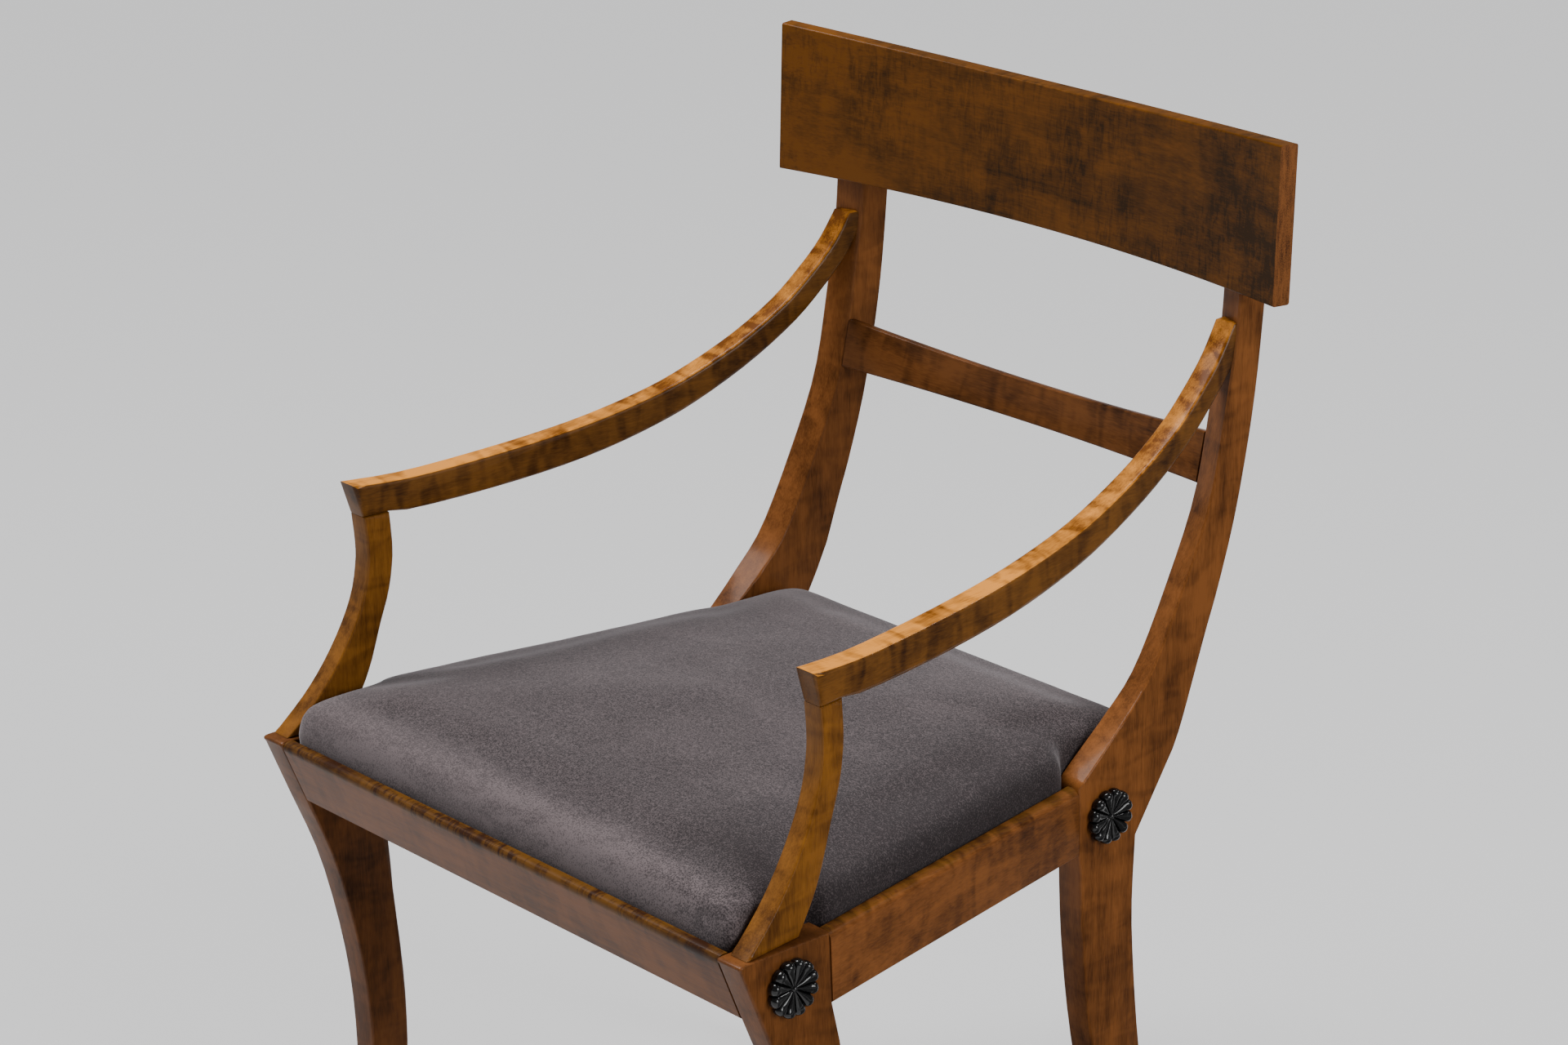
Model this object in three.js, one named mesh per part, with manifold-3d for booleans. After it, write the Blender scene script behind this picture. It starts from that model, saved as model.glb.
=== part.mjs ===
// Klismos armchair: sabre legs, a curved tablet crest, a drop-in velvet seat.
// Millimetres, +Z up, front of the chair towards -Y. The origin is on the floor,
// in the middle of the chair's width and depth.
import * as THREE from 'three';
import { mergeVertices } from 'three/addons/utils/BufferGeometryUtils.js';
import Module from 'manifold-3d';

const wasm = await Module();
wasm.setup();

// Driving dimensions of the frame
const RAIL_TOP = 418;            // top of the seat rails above the floor
const RAIL_HEIGHT = 55;
const RAIL_THICKNESS = 24;
const RAIL_ROUND = 7;            // rounded upper edge of the rails
const FRONT_WIDTH = 551;         // over the outer faces of the front legs
const REAR_WIDTH = 439;          // over the outer faces of the rear legs
const LEG_THICKNESS = 24;
const EDGE_EASE = 1.6;           // eased arris on legs and stiles
const BLOCK_DEPTH = 84;          // front leg block, front to back, at the rail top
const BLOCK_RAKE = 23;           // how far the block's front face falls back over the rail height
const BLOCK_BACK_RAKE = 3;       // the same for the block's rear face
const HORN_ROUND = 5;            // rounding of the block's forward tip
const HORN_REACH = 3;            // how far the full tip stands out past the rounding
const SEAT_SPAN = 387;           // horn tip to the front face of the rear leg at rail level
const REAR_BLOCK_DEPTH = 61.5;   // rear leg, front to back, at the underside of the rails
const FRONT_SWEEP = 54;          // how far the front leg sweeps back below the rail
const REAR_SWEEP = 80;           // how far the rear leg sweeps back below the rail

// Driving dimensions of the back
const BACK_HEIGHT = 356;         // rail top to the underside of the crest
const BACK_LEAN = 159;           // how far the stile's front face leans back over that height
const STILE_SKEW = 7.6;          // the stile's inner edge lies this much further back
const SKEW_RISE = 60;            // height above the rails over which that skew comes in
const TONGUE_HEIGHT = 92;        // stile end lapped behind the crest
const TONGUE_THICKNESS = 13;
const TONGUE_TURN_SHARE = 0.55;  // height at which the tongue's rear face turns over
const CREST_LENGTH = 534;
const CREST_HEIGHT = 120.5;
const CREST_THICKNESS = 15;
const CREST_SAG = 28.5;          // hollow of the crest in plan
const CREST_FORWARD = 19;        // crest's front corners ahead of the stiles' front faces
const CREST_LEAN = 2.8;          // backward lean of the crest over its height
const TOP_HOLLOW = 8;            // hollow of the upper edge of crest and slat
const SLAT_HEIGHT = 40;
const SLAT_THICKNESS = 9.5;
const SLAT_RISE = 202;           // rail top to the slat's lower edge
const SLAT_EASE = 1.8;

// Driving dimensions of the arms
const ARM_WIDTH = 20;
const ARM_EASE = 3.2;
const ARM_FRONT_INSET = 7.5;     // arm's outer face inside the front leg's, at its front tip
const ARM_REAR_INSET = 1;        // the same inside the stile's, where the arm meets it
const ARM_TIP_Y = 75;            // horn tip to the arm's front tip
const ARM_TIP_Z = 191;           // rail top to the top of that tip
const ARM_RISE = 139;            // rise of the arm from tip to stile
const ARM_LAP = 2.4;             // the arm's upper edge ends this far before the stile
const ARM_DEPTH = 26;            // height of the arm's section over the support
const ARM_TIP_DEPTH = 27;        // height of its front end
const SUPPORT_THICKNESS = 18.5;
const ARM_SUPPORT_SHIFT = 0.5;   // support's middle inside the arm's
const SUPPORT_HEAD = 23;         // length of the support's head under the arm
const SUPPORT_SET = 9.5;         // support's foot behind the horn tip
const SUPPORT_FOOT = 52;         // length of the support's foot
const SUPPORT_BULGE = 76;        // how far the support's front edge swings back

// Driving dimensions of joints and fastenings
const JOINT_GAP = 0.3;           // clearance between pieces that touch
const SLIVER = 0.005;            // edges shorter than this are joined up
const TENON_THICKNESS = 10;
const TENON_LENGTH = 16;
const TENON_SHOULDER = 8;        // tenon is this much shorter than its rail above and below
const DOWEL_DIAMETER = 8;
const DOWEL_LENGTH = 28;
const DOWEL_TILT = Math.PI / 4;  // the arm dowels point up and back along the arm
const SUPPORT_TENON_DEPTH = 13;
const SUPPORT_TENON_LENGTH = 13;
const SLAT_TENON_LENGTH = 10;
const ROSETTE_DIAMETER = 45;
const ROSETTE_HEIGHT = 8.5;
const ROSETTE_RIM = 3;
const ROSETTE_PETALS = 12;
const PETAL_STEPS = 4;
const PETAL_CUT_SHARE = 0.09;    // depth of the scallops in the rim
const PETAL_GROOVE_SHARE = 0.22; // depth of the grooves between petals
const PETAL_FOOT_SHARE = 0.6;    // the grooves start at this share of the height
const ROSETTE_FRONT_Y = 46;      // horn tip to the rosettes' centres
const ROSETTE_REAR_SET = 30.5;   // front face of the rear leg to the rosette's centre
const ROSETTE_Z = -28.5;         // rail top to the rosettes' centres
const SPIGOT_DIAMETER = 9;
const SPIGOT_LENGTH = 10;
const SCREW_HEAD = 9;
const SCREW_SHANK = 4.5;
const SCREW_SINK = 1.5;          // head below the surface of the wood
const SCREW_BITE_SHARE = 0.65;   // how far a crest screw reaches into the crest
const CREST_SCREW_SHARES = [0.3, 0.75];
const CORNER_SCREW_LENGTH = 48;
const SLOT_WIDTH = 1.2;
const SLOT_DEPTH = 1;
const BLOCK_LEG = 58;            // corner block, along each rail
const FRONT_BLOCK_SHARE = 1 / 2; // where the leg cuts the block off, as a share of that length
const REAR_BLOCK_SHARE = 1 / 3;
const CORNER_BLOCK_HEIGHT = 26;
const CORNER_BLOCK_DROP = 2;     // corner block above the underside of the rails

// Driving dimensions of the drop-in seat
const LIP_WIDTH = 11;            // rail lip round the seat
const REBATE_DEPTH = 20;
const CORNER_ROUND = 6;          // rounding of the cushion's corners
const NOTCH_ROUND = 3;           // the same where the cushion goes round a leg
const CORNER_STEPS = 3;
const SPLINE_STEPS = 48;
const PAD_ROUND = 17;            // rounding of the pad's corners under the velvet
const CORNER_SWELL = 5;          // the pad's own corners reach this far into the supports and legs
const NOTCH_PLAY = 2;            // notch behind the supports' feet, so that the seat lifts out
const BLOCK_CLEAR = 0.6;         // velvet above the tops of the front leg blocks
const CORNER_SHARE = 0.4;        // most of a short side that one rounded corner may take
const SIDE_DRAW = 1.5;           // the cushion's sides pull in this much between its corners
const SEAT_FRAME_HEIGHT = 17;
const SEAT_RAIL_WIDTH = 42;
const SEAT_TAIL = 95;            // rear edge of the velvet behind the front faces of the rear legs
const WEB_WIDTH = 50;
const WEB_THICKNESS = 1.2;
const WEB_ROWS = 3;
const WEB_SPREAD_SHARE = 0.86;
const COVER_THICKNESS = 1.5;
const COVER_EDGE = 1;            // velvet to the rail lip
const CUSHION_EDGE = 27;         // height of the cushion's shoulder above the rails
const CUSHION_CROWN = 11;        // further rise in the middle of the seat
const CUSHION_ROLL = 30;         // width of the rounded shoulder
const DUST_COVER_INSET = 26;
const DUST_COVER_THICKNESS = 1;

// Derived places
const SEAT_PLAY = COVER_EDGE + COVER_THICKNESS + SIDE_DRAW + JOINT_GAP;   // seat frame to the rail lips
const LEG_HEIGHT = RAIL_TOP - RAIL_HEIGHT;
const STILE_TOP = BACK_HEIGHT + TONGUE_HEIGHT;
const KINK_Y = SEAT_SPAN + BLOCK_BACK_RAKE + REAR_BLOCK_DEPTH;
const CREST_BACK_SHARE = 1.185;  // stile's rear face under the crest, in shares of the lean
const CREST_FRONT = SEAT_SPAN + BACK_LEAN - CREST_FORWARD;
const SEAT_BACK = SEAT_SPAN + SEAT_TAIL;
const ROSETTE_REAR_Y = SEAT_SPAN + ROSETTE_REAR_SET;
const SUPPORT_HEIGHT = ARM_TIP_Z - ARM_TIP_DEPTH;   // rail top to the arm's underside
const FRONT_OUT = FRONT_WIDTH / 2;
const REAR_OUT = REAR_WIDTH / 2;
const FRONT_IN = FRONT_OUT - LEG_THICKNESS;
const REAR_IN = REAR_OUT - LEG_THICKNESS;
const FRONT_RAIL_SHARE = 1.16;   // front rail's section measured level, over its thickness
const RAIL_SPLAY = (FRONT_OUT - REAR_OUT) / (SEAT_SPAN - BLOCK_DEPTH);
const ARM_FRONT_OUT = FRONT_OUT - ARM_FRONT_INSET;
const ARM_REAR_OUT = REAR_OUT - ARM_REAR_INSET;
const ARM_CENTRE = ARM_FRONT_OUT - ARM_WIDTH / 2 - ARM_SUPPORT_SHIFT;
const CREST_RADIUS = (CREST_LENGTH ** 2 / 4 + CREST_SAG ** 2) / (2 * CREST_SAG);

const wood = new THREE.MeshStandardMaterial({ color: 0x8a4f22, roughness: 0.38, metalness: 0 });
const crestWood = new THREE.MeshStandardMaterial({ color: 0x5f3c18, roughness: 0.36, metalness: 0 });
const armWood = new THREE.MeshStandardMaterial({ color: 0x9a6228, roughness: 0.34, metalness: 0 });
const innerWood = new THREE.MeshStandardMaterial({ color: 0xb48a5a, roughness: 0.7, metalness: 0 });
const ebonised = new THREE.MeshStandardMaterial({ color: 0x0c0b0b, roughness: 0.3, metalness: 0 });
const steel = new THREE.MeshStandardMaterial({ color: 0x8c8982, roughness: 0.4, metalness: 1 });
const velvet = new THREE.MeshStandardMaterial({ color: 0x6d6266, roughness: 0.9, metalness: 0 });
const stuffing = new THREE.MeshStandardMaterial({ color: 0xcbbd9d, roughness: 0.95, metalness: 0 });
const webbing = new THREE.MeshStandardMaterial({ color: 0xa58b5c, roughness: 0.9, metalness: 0 });
const lining = new THREE.MeshStandardMaterial({ color: 0x1c1b1b, roughness: 0.95, metalness: 0 });

const SIDES = [['left', -1], ['right', 1]];

const chair = new THREE.Group();

function signedVolume(points, faces) {
  let sum = 0;
  const cross = new THREE.Vector3();
  for (const [a, b, c] of faces) {
    sum += cross.crossVectors(points[a], points[b]).dot(points[c]);
  }
  return sum;
}

// A closed body from shared points and triangles, turned so that its faces point out
function body(points, faces) {
  const outward = signedVolume(points, faces) > 0;
  const triVerts = new Uint32Array(faces.length * 3);
  faces.forEach(([a, b, c], i) => triVerts.set(outward ? [a, b, c] : [a, c, b], i * 3));
  const vertProperties = new Float32Array(points.length * 3);
  points.forEach((p, i) => vertProperties.set([p.x, p.y, p.z], i * 3));
  return new wasm.Manifold(new wasm.Mesh({ numProp: 3, vertProperties, triVerts }));
}

function fromGeometry(geometry, change = (p) => p) {
  geometry.deleteAttribute('normal');
  geometry.deleteAttribute('uv');
  const merged = mergeVertices(geometry, 1e-4);
  const position = merged.getAttribute('position');
  const points = [];
  for (let i = 0; i < position.count; i += 1) {
    points.push(change(new THREE.Vector3().fromBufferAttribute(position, i)));
  }
  const index = merged.getIndex().array;
  const faces = [];
  for (let i = 0; i < index.length; i += 3) {
    const face = [index[i], index[i + 1], index[i + 2]];
    if (new Set(face).size === 3) faces.push(face);
  }
  return body(points, faces);
}

function add(name, solid, material) {
  const mesh = solid.simplify(SLIVER).getMesh();
  const geometry = new THREE.BufferGeometry();
  geometry.setAttribute('position', new THREE.BufferAttribute(mesh.vertProperties.slice(), 3));
  geometry.setIndex(new THREE.BufferAttribute(mesh.triVerts.slice(), 1));
  geometry.computeVertexNormals();
  const piece = new THREE.Mesh(geometry, material);
  piece.name = name;
  chair.add(piece);
  return piece;
}

// Triangles of a flat outline, each turning the way that the outline turns
function flatFaces(outline) {
  const { area, triangulateShape } = THREE.ShapeUtils;
  const way = area(outline);
  return triangulateShape(outline, []).map(([a, b, c]) => (
    area([outline[a], outline[b], outline[c]]) * way > 0 ? [a, b, c] : [a, c, b]));
}

// A closed body through rings of points, with a cap on the first ring and on the last
function loft(rings, firstOutline, lastOutline = firstOutline) {
  const points = rings.flat();
  const count = firstOutline.length;
  const last = points.length - count;
  const faces = flatFaces(firstOutline).map(([a, b, c]) => [a, c, b]);
  faces.push(...flatFaces(lastOutline).map((face) => face.map((i) => i + last)));
  for (let ring = 0; ring < last; ring += count) {
    for (let i = 0; i < count; i += 1) {
      const [a, b] = [ring + i, ring + (i + 1) % count];
      faces.push([a, b, b + count], [a, b + count, a + count]);
    }
  }
  return body(points, faces);
}

// A section of [u, v] points carried through a row of places
function sweep(section, places) {
  return loft(places.map((place) => section.map(([u, v]) => place(u, v))),
    section.map(([u, v]) => new THREE.Vector2(u, v)));
}

function box(size, place) {
  return fromGeometry(new THREE.BoxGeometry(...size), (p) => p.applyMatrix4(place));
}

function pin(diameter, length, sides, place) {
  return fromGeometry(new THREE.CylinderGeometry(diameter / 2, diameter / 2, length, sides),
    (p) => p.applyMatrix4(place));
}

function moved(x, y, z, turnZ = 0, turnX = 0) {
  const spin = new THREE.Quaternion().setFromEuler(new THREE.Euler(turnX, 0, turnZ, 'ZYX'));
  return new THREE.Matrix4().compose(new THREE.Vector3(x, y, z), spin, new THREE.Vector3(1, 1, 1));
}

// Smooth curve through points given as [y share, z share] of a span and a height
function curve(shares, span, height, from, steps) {
  const through = shares.map(([y, z]) => new THREE.Vector2(from[0] + y * span, from[1] + z * height));
  return new THREE.SplineCurve(through).getPoints(steps);
}

// A board sawn to a side outline of (y, z) points, its arrises eased, standing between two x values
function board(outline, thickness, ease, centreX, bend = (p) => p) {
  const depth = thickness - 2 * ease;
  const bevelSegments = ease > EDGE_EASE ? 2 : 1;
  const geometry = new THREE.ExtrudeGeometry(new THREE.Shape(outline), {
    depth, bevelEnabled: true, bevelThickness: ease, bevelSize: ease, bevelOffset: -ease, bevelSegments,
  });
  return fromGeometry(geometry, (p) => bend(new THREE.Vector3(centreX + p.z - depth / 2, p.x, p.y)));
}

function mix(a, b, t) {
  return a + (b - a) * t;
}

function smooth(t) {
  const s = Math.min(Math.max(t, 0), 1);
  return s * s * (3 - 2 * s);
}

// y of a line of (y, z) points at a height
function yAt(line, z) {
  const i = Math.max(line.findIndex((p, k) => k > 0 && (p.y - z) * (line[k - 1].y - z) <= 0), 1);
  const [a, b] = [line[i - 1], line[i]];
  return mix(a.x, b.x, (z - a.y) / (b.y - a.y));
}

// Smooth reading of a table of [value, place] shares
function valueAt(shares, place) {
  const knots = shares.map(([value, at]) => new THREE.Vector2(value, at));
  const line = new THREE.SplineCurve(knots).getPoints(SPLINE_STEPS);
  return yAt(line, place);
}

// Front leg: a block with a horn-like tip over a sabre leg that comes forward again at the foot
const FRONT_EDGE_SHARES = [[0, 0], [0.48, 0.178], [0.86, 0.42], [0.99, 0.634], [0.94, 0.83], [0.667, 1]];
const FRONT_DEPTH_SHARES = [
  [1, 0], [0.84, 0.146], [0.69, 0.267], [0.6, 0.42], [0.545, 0.634], [0.51, 0.83], [0.49, 1],
];

function blockFront(z) {
  return -z * BLOCK_RAKE / RAIL_HEIGHT;
}

function blockBack(z) {
  return -z * BLOCK_BACK_RAKE / RAIL_HEIGHT;
}

function frontLegOutline() {
  const blockWidth = BLOCK_DEPTH + BLOCK_BACK_RAKE - BLOCK_RAKE;
  const front = curve(FRONT_EDGE_SHARES, FRONT_SWEEP, -LEG_HEIGHT, [BLOCK_RAKE, -RAIL_HEIGHT], 18);
  const rear = front.map((p) => new THREE.Vector2(
    p.x + blockWidth * valueAt(FRONT_DEPTH_SHARES, (-RAIL_HEIGHT - p.y) / LEG_HEIGHT), p.y));
  const horn = new THREE.QuadraticBezierCurve(
    new THREE.Vector2(HORN_ROUND, 0), new THREE.Vector2(-HORN_REACH, 0),
    new THREE.Vector2(blockFront(-HORN_ROUND), -HORN_ROUND)).getPoints(4);
  return [...horn, ...front, ...rear.reverse(), new THREE.Vector2(BLOCK_DEPTH, 0)];
}

// Rear leg and stile in one board: a sabre leg below the rails, a swept stile above them
const REAR_EDGE_SHARES = [[0, 0], [0.06, 0.204], [0.225, 0.444], [0.54, 0.72], [1, 1]];
const REAR_DEPTH_SHARES = [[1, 0], [0.92, 0.17], [0.86, 0.4], [0.72, 0.72], [0.56, 1]];
const STILE_FRONT_SHARES = [[0, 0], [0.17, 0.067], [0.296, 0.121], [0.472, 0.205], [0.667, 0.365],
  [0.84, 0.542], [0.927, 0.733], [0.984, 0.9], [1, 1]];
const STILE_REAR_SHARES = [[0.648, 0.011], [0.71, 0.073], [0.845, 0.247], [0.925, 0.343],
  [1.025, 0.49], [1.1, 0.65], [1.145, 0.784], [1.175, 0.93], [CREST_BACK_SHARE, 1]];

function crestArc(x) {
  return CREST_SAG - (CREST_RADIUS - Math.sqrt(CREST_RADIUS ** 2 - x * x));
}

function stileSkew(x, z) {
  const inward = (REAR_OUT - Math.abs(x)) / LEG_THICKNESS;
  return STILE_SKEW * inward * smooth(z / SKEW_RISE);
}

// Back of the crest, where the stile's tongue lies against it
function crestBackY(x, z) {
  const lean = CREST_LEAN * (z - BACK_HEIGHT) / CREST_HEIGHT;
  return CREST_FRONT + crestArc(x) + lean + CREST_THICKNESS / Math.sqrt(1 - (x / CREST_RADIUS) ** 2);
}

const stileFront = curve(STILE_FRONT_SHARES, BACK_LEAN, BACK_HEIGHT, [SEAT_SPAN, 0], 28);
const ARM_REACH = yAt(stileFront, ARM_TIP_Z + ARM_RISE) - ARM_LAP - ARM_TIP_Y;
const ARM_SPLAY = (ARM_FRONT_OUT - ARM_REAR_OUT) / ARM_REACH;
const stileRear = curve(STILE_REAR_SHARES, BACK_LEAN, BACK_HEIGHT, [SEAT_SPAN, 0], 22);

function tongueRear() {
  const top = crestBackY(REAR_OUT, STILE_TOP) + TONGUE_THICKNESS;
  const foot = stileRear[stileRear.length - 1];
  const upright = new THREE.Vector2(foot.x, mix(BACK_HEIGHT, STILE_TOP, TONGUE_TURN_SHARE));
  return new THREE.QuadraticBezierCurve(foot, upright, new THREE.Vector2(top, STILE_TOP)).getPoints(5);
}

function rearLegOutline() {
  const front = curve(REAR_EDGE_SHARES, REAR_SWEEP, -LEG_HEIGHT,
    [SEAT_SPAN + BLOCK_BACK_RAKE, -RAIL_HEIGHT], 16);
  const rear = front.map((p) => new THREE.Vector2(
    p.x + REAR_BLOCK_DEPTH * valueAt(REAR_DEPTH_SHARES, (-RAIL_HEIGHT - p.y) / LEG_HEIGHT), p.y));
  const shoulder = BACK_HEIGHT - JOINT_GAP;
  const face = stileFront.slice(0, -1);
  const tongueFront = [new THREE.Vector2(stileFront[stileFront.length - 1].x, shoulder),
    new THREE.Vector2(crestBackY(REAR_OUT, shoulder) + JOINT_GAP, shoulder),
    new THREE.Vector2(crestBackY(REAR_OUT, STILE_TOP) + JOINT_GAP, STILE_TOP)];
  return [...front.reverse(), ...face, ...tongueFront, ...tongueRear().reverse(),
    ...stileRear.slice(0, -1).reverse(), ...rear];
}

function stileBend(p) {
  return new THREE.Vector3(p.x, p.y + stileSkew(p.x, p.z), p.z);
}

// Crest and slat: a section swept along an arc in plan, its upper edge hollowed
function roundedSection(thickness, height, ease) {
  const corner = ease * (1 - Math.SQRT1_2);
  return [
    [0, ease], [corner, corner], [ease, 0],
    [thickness - ease, 0], [thickness - corner, corner], [thickness, ease],
    [thickness, height - ease], [thickness - corner, height - corner], [thickness - ease, height],
    [ease, height], [corner, height - corner], [0, height - ease],
  ];
}

function arcBoard(half, steps, section, place) {
  const stations = Array.from({ length: steps + 1 }, (_, i) => mix(-half, half, i / steps));
  return sweep(section, stations.map((x) => (u, v) => place(x, u, v)));
}

function hollowed(x, half, v, height) {
  return v * (1 - TOP_HOLLOW * (1 - (x / half) ** 2) / height);
}

function crestSolid() {
  const half = CREST_LENGTH / 2;
  const place = (x, u, v) => {
    const slope = Math.asin(x / CREST_RADIUS);
    const lean = CREST_LEAN * v / CREST_HEIGHT;
    return new THREE.Vector3(x + u * Math.sin(slope),
      CREST_FRONT + crestArc(x) + lean + u * Math.cos(slope),
      BACK_HEIGHT + hollowed(x, half, v, CREST_HEIGHT));
  };
  return arcBoard(half, 28, roundedSection(CREST_THICKNESS, CREST_HEIGHT, EDGE_EASE), place);
}

// The slat's front face is flush with the inner edge of the stiles
function slatPiece(half, thickness, height, setIn, setUp) {
  const low = yAt(stileFront, SLAT_RISE) + STILE_SKEW;
  const tilt = Math.asin((yAt(stileFront, SLAT_RISE + SLAT_HEIGHT) + STILE_SKEW - low) / SLAT_HEIGHT);
  const place = (x, u, v) => {
    const slope = Math.asin(x / CREST_RADIUS);
    const up = setUp + hollowed(Math.min(Math.abs(x), REAR_IN), REAR_IN, v, SLAT_HEIGHT);
    const back = crestArc(x) - crestArc(REAR_IN) + (setIn + u) / Math.cos(slope);
    return new THREE.Vector3(x, low + back * Math.cos(tilt) + up * Math.sin(tilt),
      SLAT_RISE + up * Math.cos(tilt) - back * Math.sin(tilt));
  };
  return arcBoard(half, 24, roundedSection(thickness, height, Math.min(SLAT_EASE, thickness / 4)), place);
}

const slatTenon = [SLAT_THICKNESS / 2, SLAT_HEIGHT - 2 * TENON_SHOULDER];

function slatSolid() {
  const tenon = slatPiece(REAR_IN + SLAT_TENON_LENGTH, ...slatTenon, SLAT_THICKNESS / 4, TENON_SHOULDER);
  return slatPiece(REAR_IN - JOINT_GAP, SLAT_THICKNESS, SLAT_HEIGHT, 0, 0).add(tenon);
}

function slatMortises() {
  const [thickness, height] = slatTenon;
  const play = 2 * JOINT_GAP;
  return slatPiece(REAR_IN + SLAT_TENON_LENGTH + JOINT_GAP, thickness + play, height + play,
    SLAT_THICKNESS / 4 - JOINT_GAP, TENON_SHOULDER - JOINT_GAP);
}

// Arms: a board sawn to a concave curve in side view, splayed in plan, its edges rounded
const ARM_TOP_SHARES = [[0, 0], [0.12, -0.018], [0.3, 0.012], [0.45, 0.06], [0.57, 0.13], [0.66, 0.21],
  [0.77, 0.355], [0.86, 0.52], [0.92, 0.68], [0.965, 0.83], [1, 1]];
const ARM_DEPTH_SHARES = [[1, 0], [1.08, 0.3], [1.04, 0.5], [0.9, 0.7], [0.78, 0.85], [0.7, 1], [0.66, 1.2]];

function armOutline() {
  const top = curve(ARM_TOP_SHARES, ARM_REACH, ARM_RISE, [ARM_TIP_Y, ARM_TIP_Z], 34);
  const heel = new THREE.Vector2(yAt(supportFront, SUPPORT_HEIGHT - JOINT_GAP), SUPPORT_HEIGHT);
  const flat = new THREE.Vector2(heel.x + SUPPORT_HEAD, SUPPORT_HEIGHT);
  const under = top.slice(1).map((p, i) => {
    const along = top[Math.min(i + 2, top.length - 1)].clone().sub(top[i]).normalize();
    const depth = ARM_DEPTH * valueAt(ARM_DEPTH_SHARES, (p.x - ARM_TIP_Y) / ARM_REACH);
    return new THREE.Vector2(p.x + along.y * depth, p.y - along.x * depth);
  }).filter((p) => p.x > flat.x);
  const end = new THREE.Vector2(under[under.length - 1].x, top[top.length - 1].y);
  return [...top, end, ...under.reverse(), flat, heel];
}

// Arm and support stand in one upright plane that closes in towards the back
function splayed(side, centre) {
  return (p) => new THREE.Vector3(side * (centre + p.x - ARM_SPLAY * (p.y - ARM_TIP_Y)), p.y, p.z);
}

// Arm supports: a thin board curved like a bracket, its foot on the block, its head under the arm
const SUPPORT_FRONT_SHARES = [[0, 0], [0.32, 0.14], [0.56, 0.275], [0.78, 0.44], [0.93, 0.6], [0.995, 0.75],
  [1, 0.86], [0.97, 1]];
const SUPPORT_DEPTH_SHARES = [
  [1, 0], [0.84, 0.12], [0.67, 0.26], [0.49, 0.44], [0.44, 0.6], [0.43, 0.8], [0.44, 1],
];
const supportLength = SUPPORT_HEIGHT - 2 * JOINT_GAP;
const supportFront = curve(SUPPORT_FRONT_SHARES, SUPPORT_BULGE, supportLength,
  [SUPPORT_SET, JOINT_GAP], 20);

function supportOutline() {
  const rear = supportFront.map((p) => new THREE.Vector2(
    p.x + SUPPORT_FOOT * valueAt(SUPPORT_DEPTH_SHARES, (p.y - JOINT_GAP) / supportLength), p.y));
  return [...supportFront, ...rear.reverse()];
}

// Tenons at the foot and the head of a support, grown by a clearance for their mortises
function supportTenon(side, z, y, grow) {
  const centre = ARM_CENTRE - ARM_SPLAY * (y - ARM_TIP_Y);
  const size = [TENON_THICKNESS, SUPPORT_TENON_DEPTH, SUPPORT_TENON_LENGTH * 2]
    .map((length) => length + 2 * grow);
  return box(size, moved(side * centre, y, z, side * Math.atan(ARM_SPLAY)));
}

function supportTenons(side, grow = 0) {
  const footY = SUPPORT_SET + SUPPORT_FOOT / 2;
  const headY = SUPPORT_SET + SUPPORT_BULGE + SUPPORT_HEAD / 2;
  return supportTenon(side, 0, footY, grow).add(supportTenon(side, SUPPORT_HEIGHT, headY, grow));
}

function armDowel(side, grow = 0) {
  const z = ARM_TIP_Z + ARM_RISE - ARM_DEPTH / 2;
  const x = ARM_REAR_OUT - ARM_WIDTH / 2;
  const y = yAt(stileFront, z) + stileSkew(x, z);
  return pin(DOWEL_DIAMETER + 2 * grow, DOWEL_LENGTH + 2 * grow, 12, moved(side * x, y, z, 0, DOWEL_TILT));
}

// Seat rails: an outer face, a rounded upper edge, a lip and a rebate for the drop-in seat
function roundOver(u, v, radius, steps = 4) {
  return Array.from({ length: steps + 1 }, (_, i) => {
    const turn = Math.PI / 2 * i / steps;
    return [u + radius * (1 - Math.cos(turn)), v - radius * (1 - Math.sin(turn))];
  });
}

function railSection(thickness = RAIL_THICKNESS, face = () => 0) {
  const outside = [[EDGE_EASE, -RAIL_HEIGHT], [0, EDGE_EASE - RAIL_HEIGHT], ...roundOver(0, 0, RAIL_ROUND)];
  const inside = [[thickness, -REBATE_DEPTH], [thickness, -RAIL_HEIGHT]];
  const lean = ([u, v]) => [u + face(v), v];
  return [...outside.map(lean), [LIP_WIDTH, 0], [LIP_WIDTH, -REBATE_DEPTH], ...inside.map(lean)];
}

function sideOuter(y) {
  return FRONT_OUT - RAIL_SPLAY * (y - BLOCK_DEPTH);
}

const splayCos = Math.cos(Math.atan(RAIL_SPLAY));

function sideRailSolid(side) {
  const end = (start, gap) => (u, v) => {
    const y = start + blockBack(v) + gap;
    return new THREE.Vector3(side * (sideOuter(y) - u / splayCos), y, v);
  };
  return sweep(railSection(), [end(BLOCK_DEPTH, JOINT_GAP), end(SEAT_SPAN, -JOINT_GAP)]);
}

const TENON_MIDDLE = -(RAIL_HEIGHT - TENON_SHOULDER + REBATE_DEPTH) / 2;
const TENON_HEIGHT = RAIL_HEIGHT - REBATE_DEPTH - TENON_SHOULDER;

function tenon(side, x, y, turn, grow) {
  const size = [TENON_THICKNESS, 2 * TENON_LENGTH, TENON_HEIGHT].map((length) => length + 2 * grow);
  return box(size, moved(side * x, y, TENON_MIDDLE, side * turn));
}

function sideTenons(side, grow = 0) {
  const turn = Math.atan(RAIL_SPLAY);
  return [BLOCK_DEPTH, SEAT_SPAN].map((y) => tenon(side, sideOuter(y) - RAIL_THICKNESS / 2, y, turn, grow))
    .reduce((a, b) => a.add(b));
}

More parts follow.
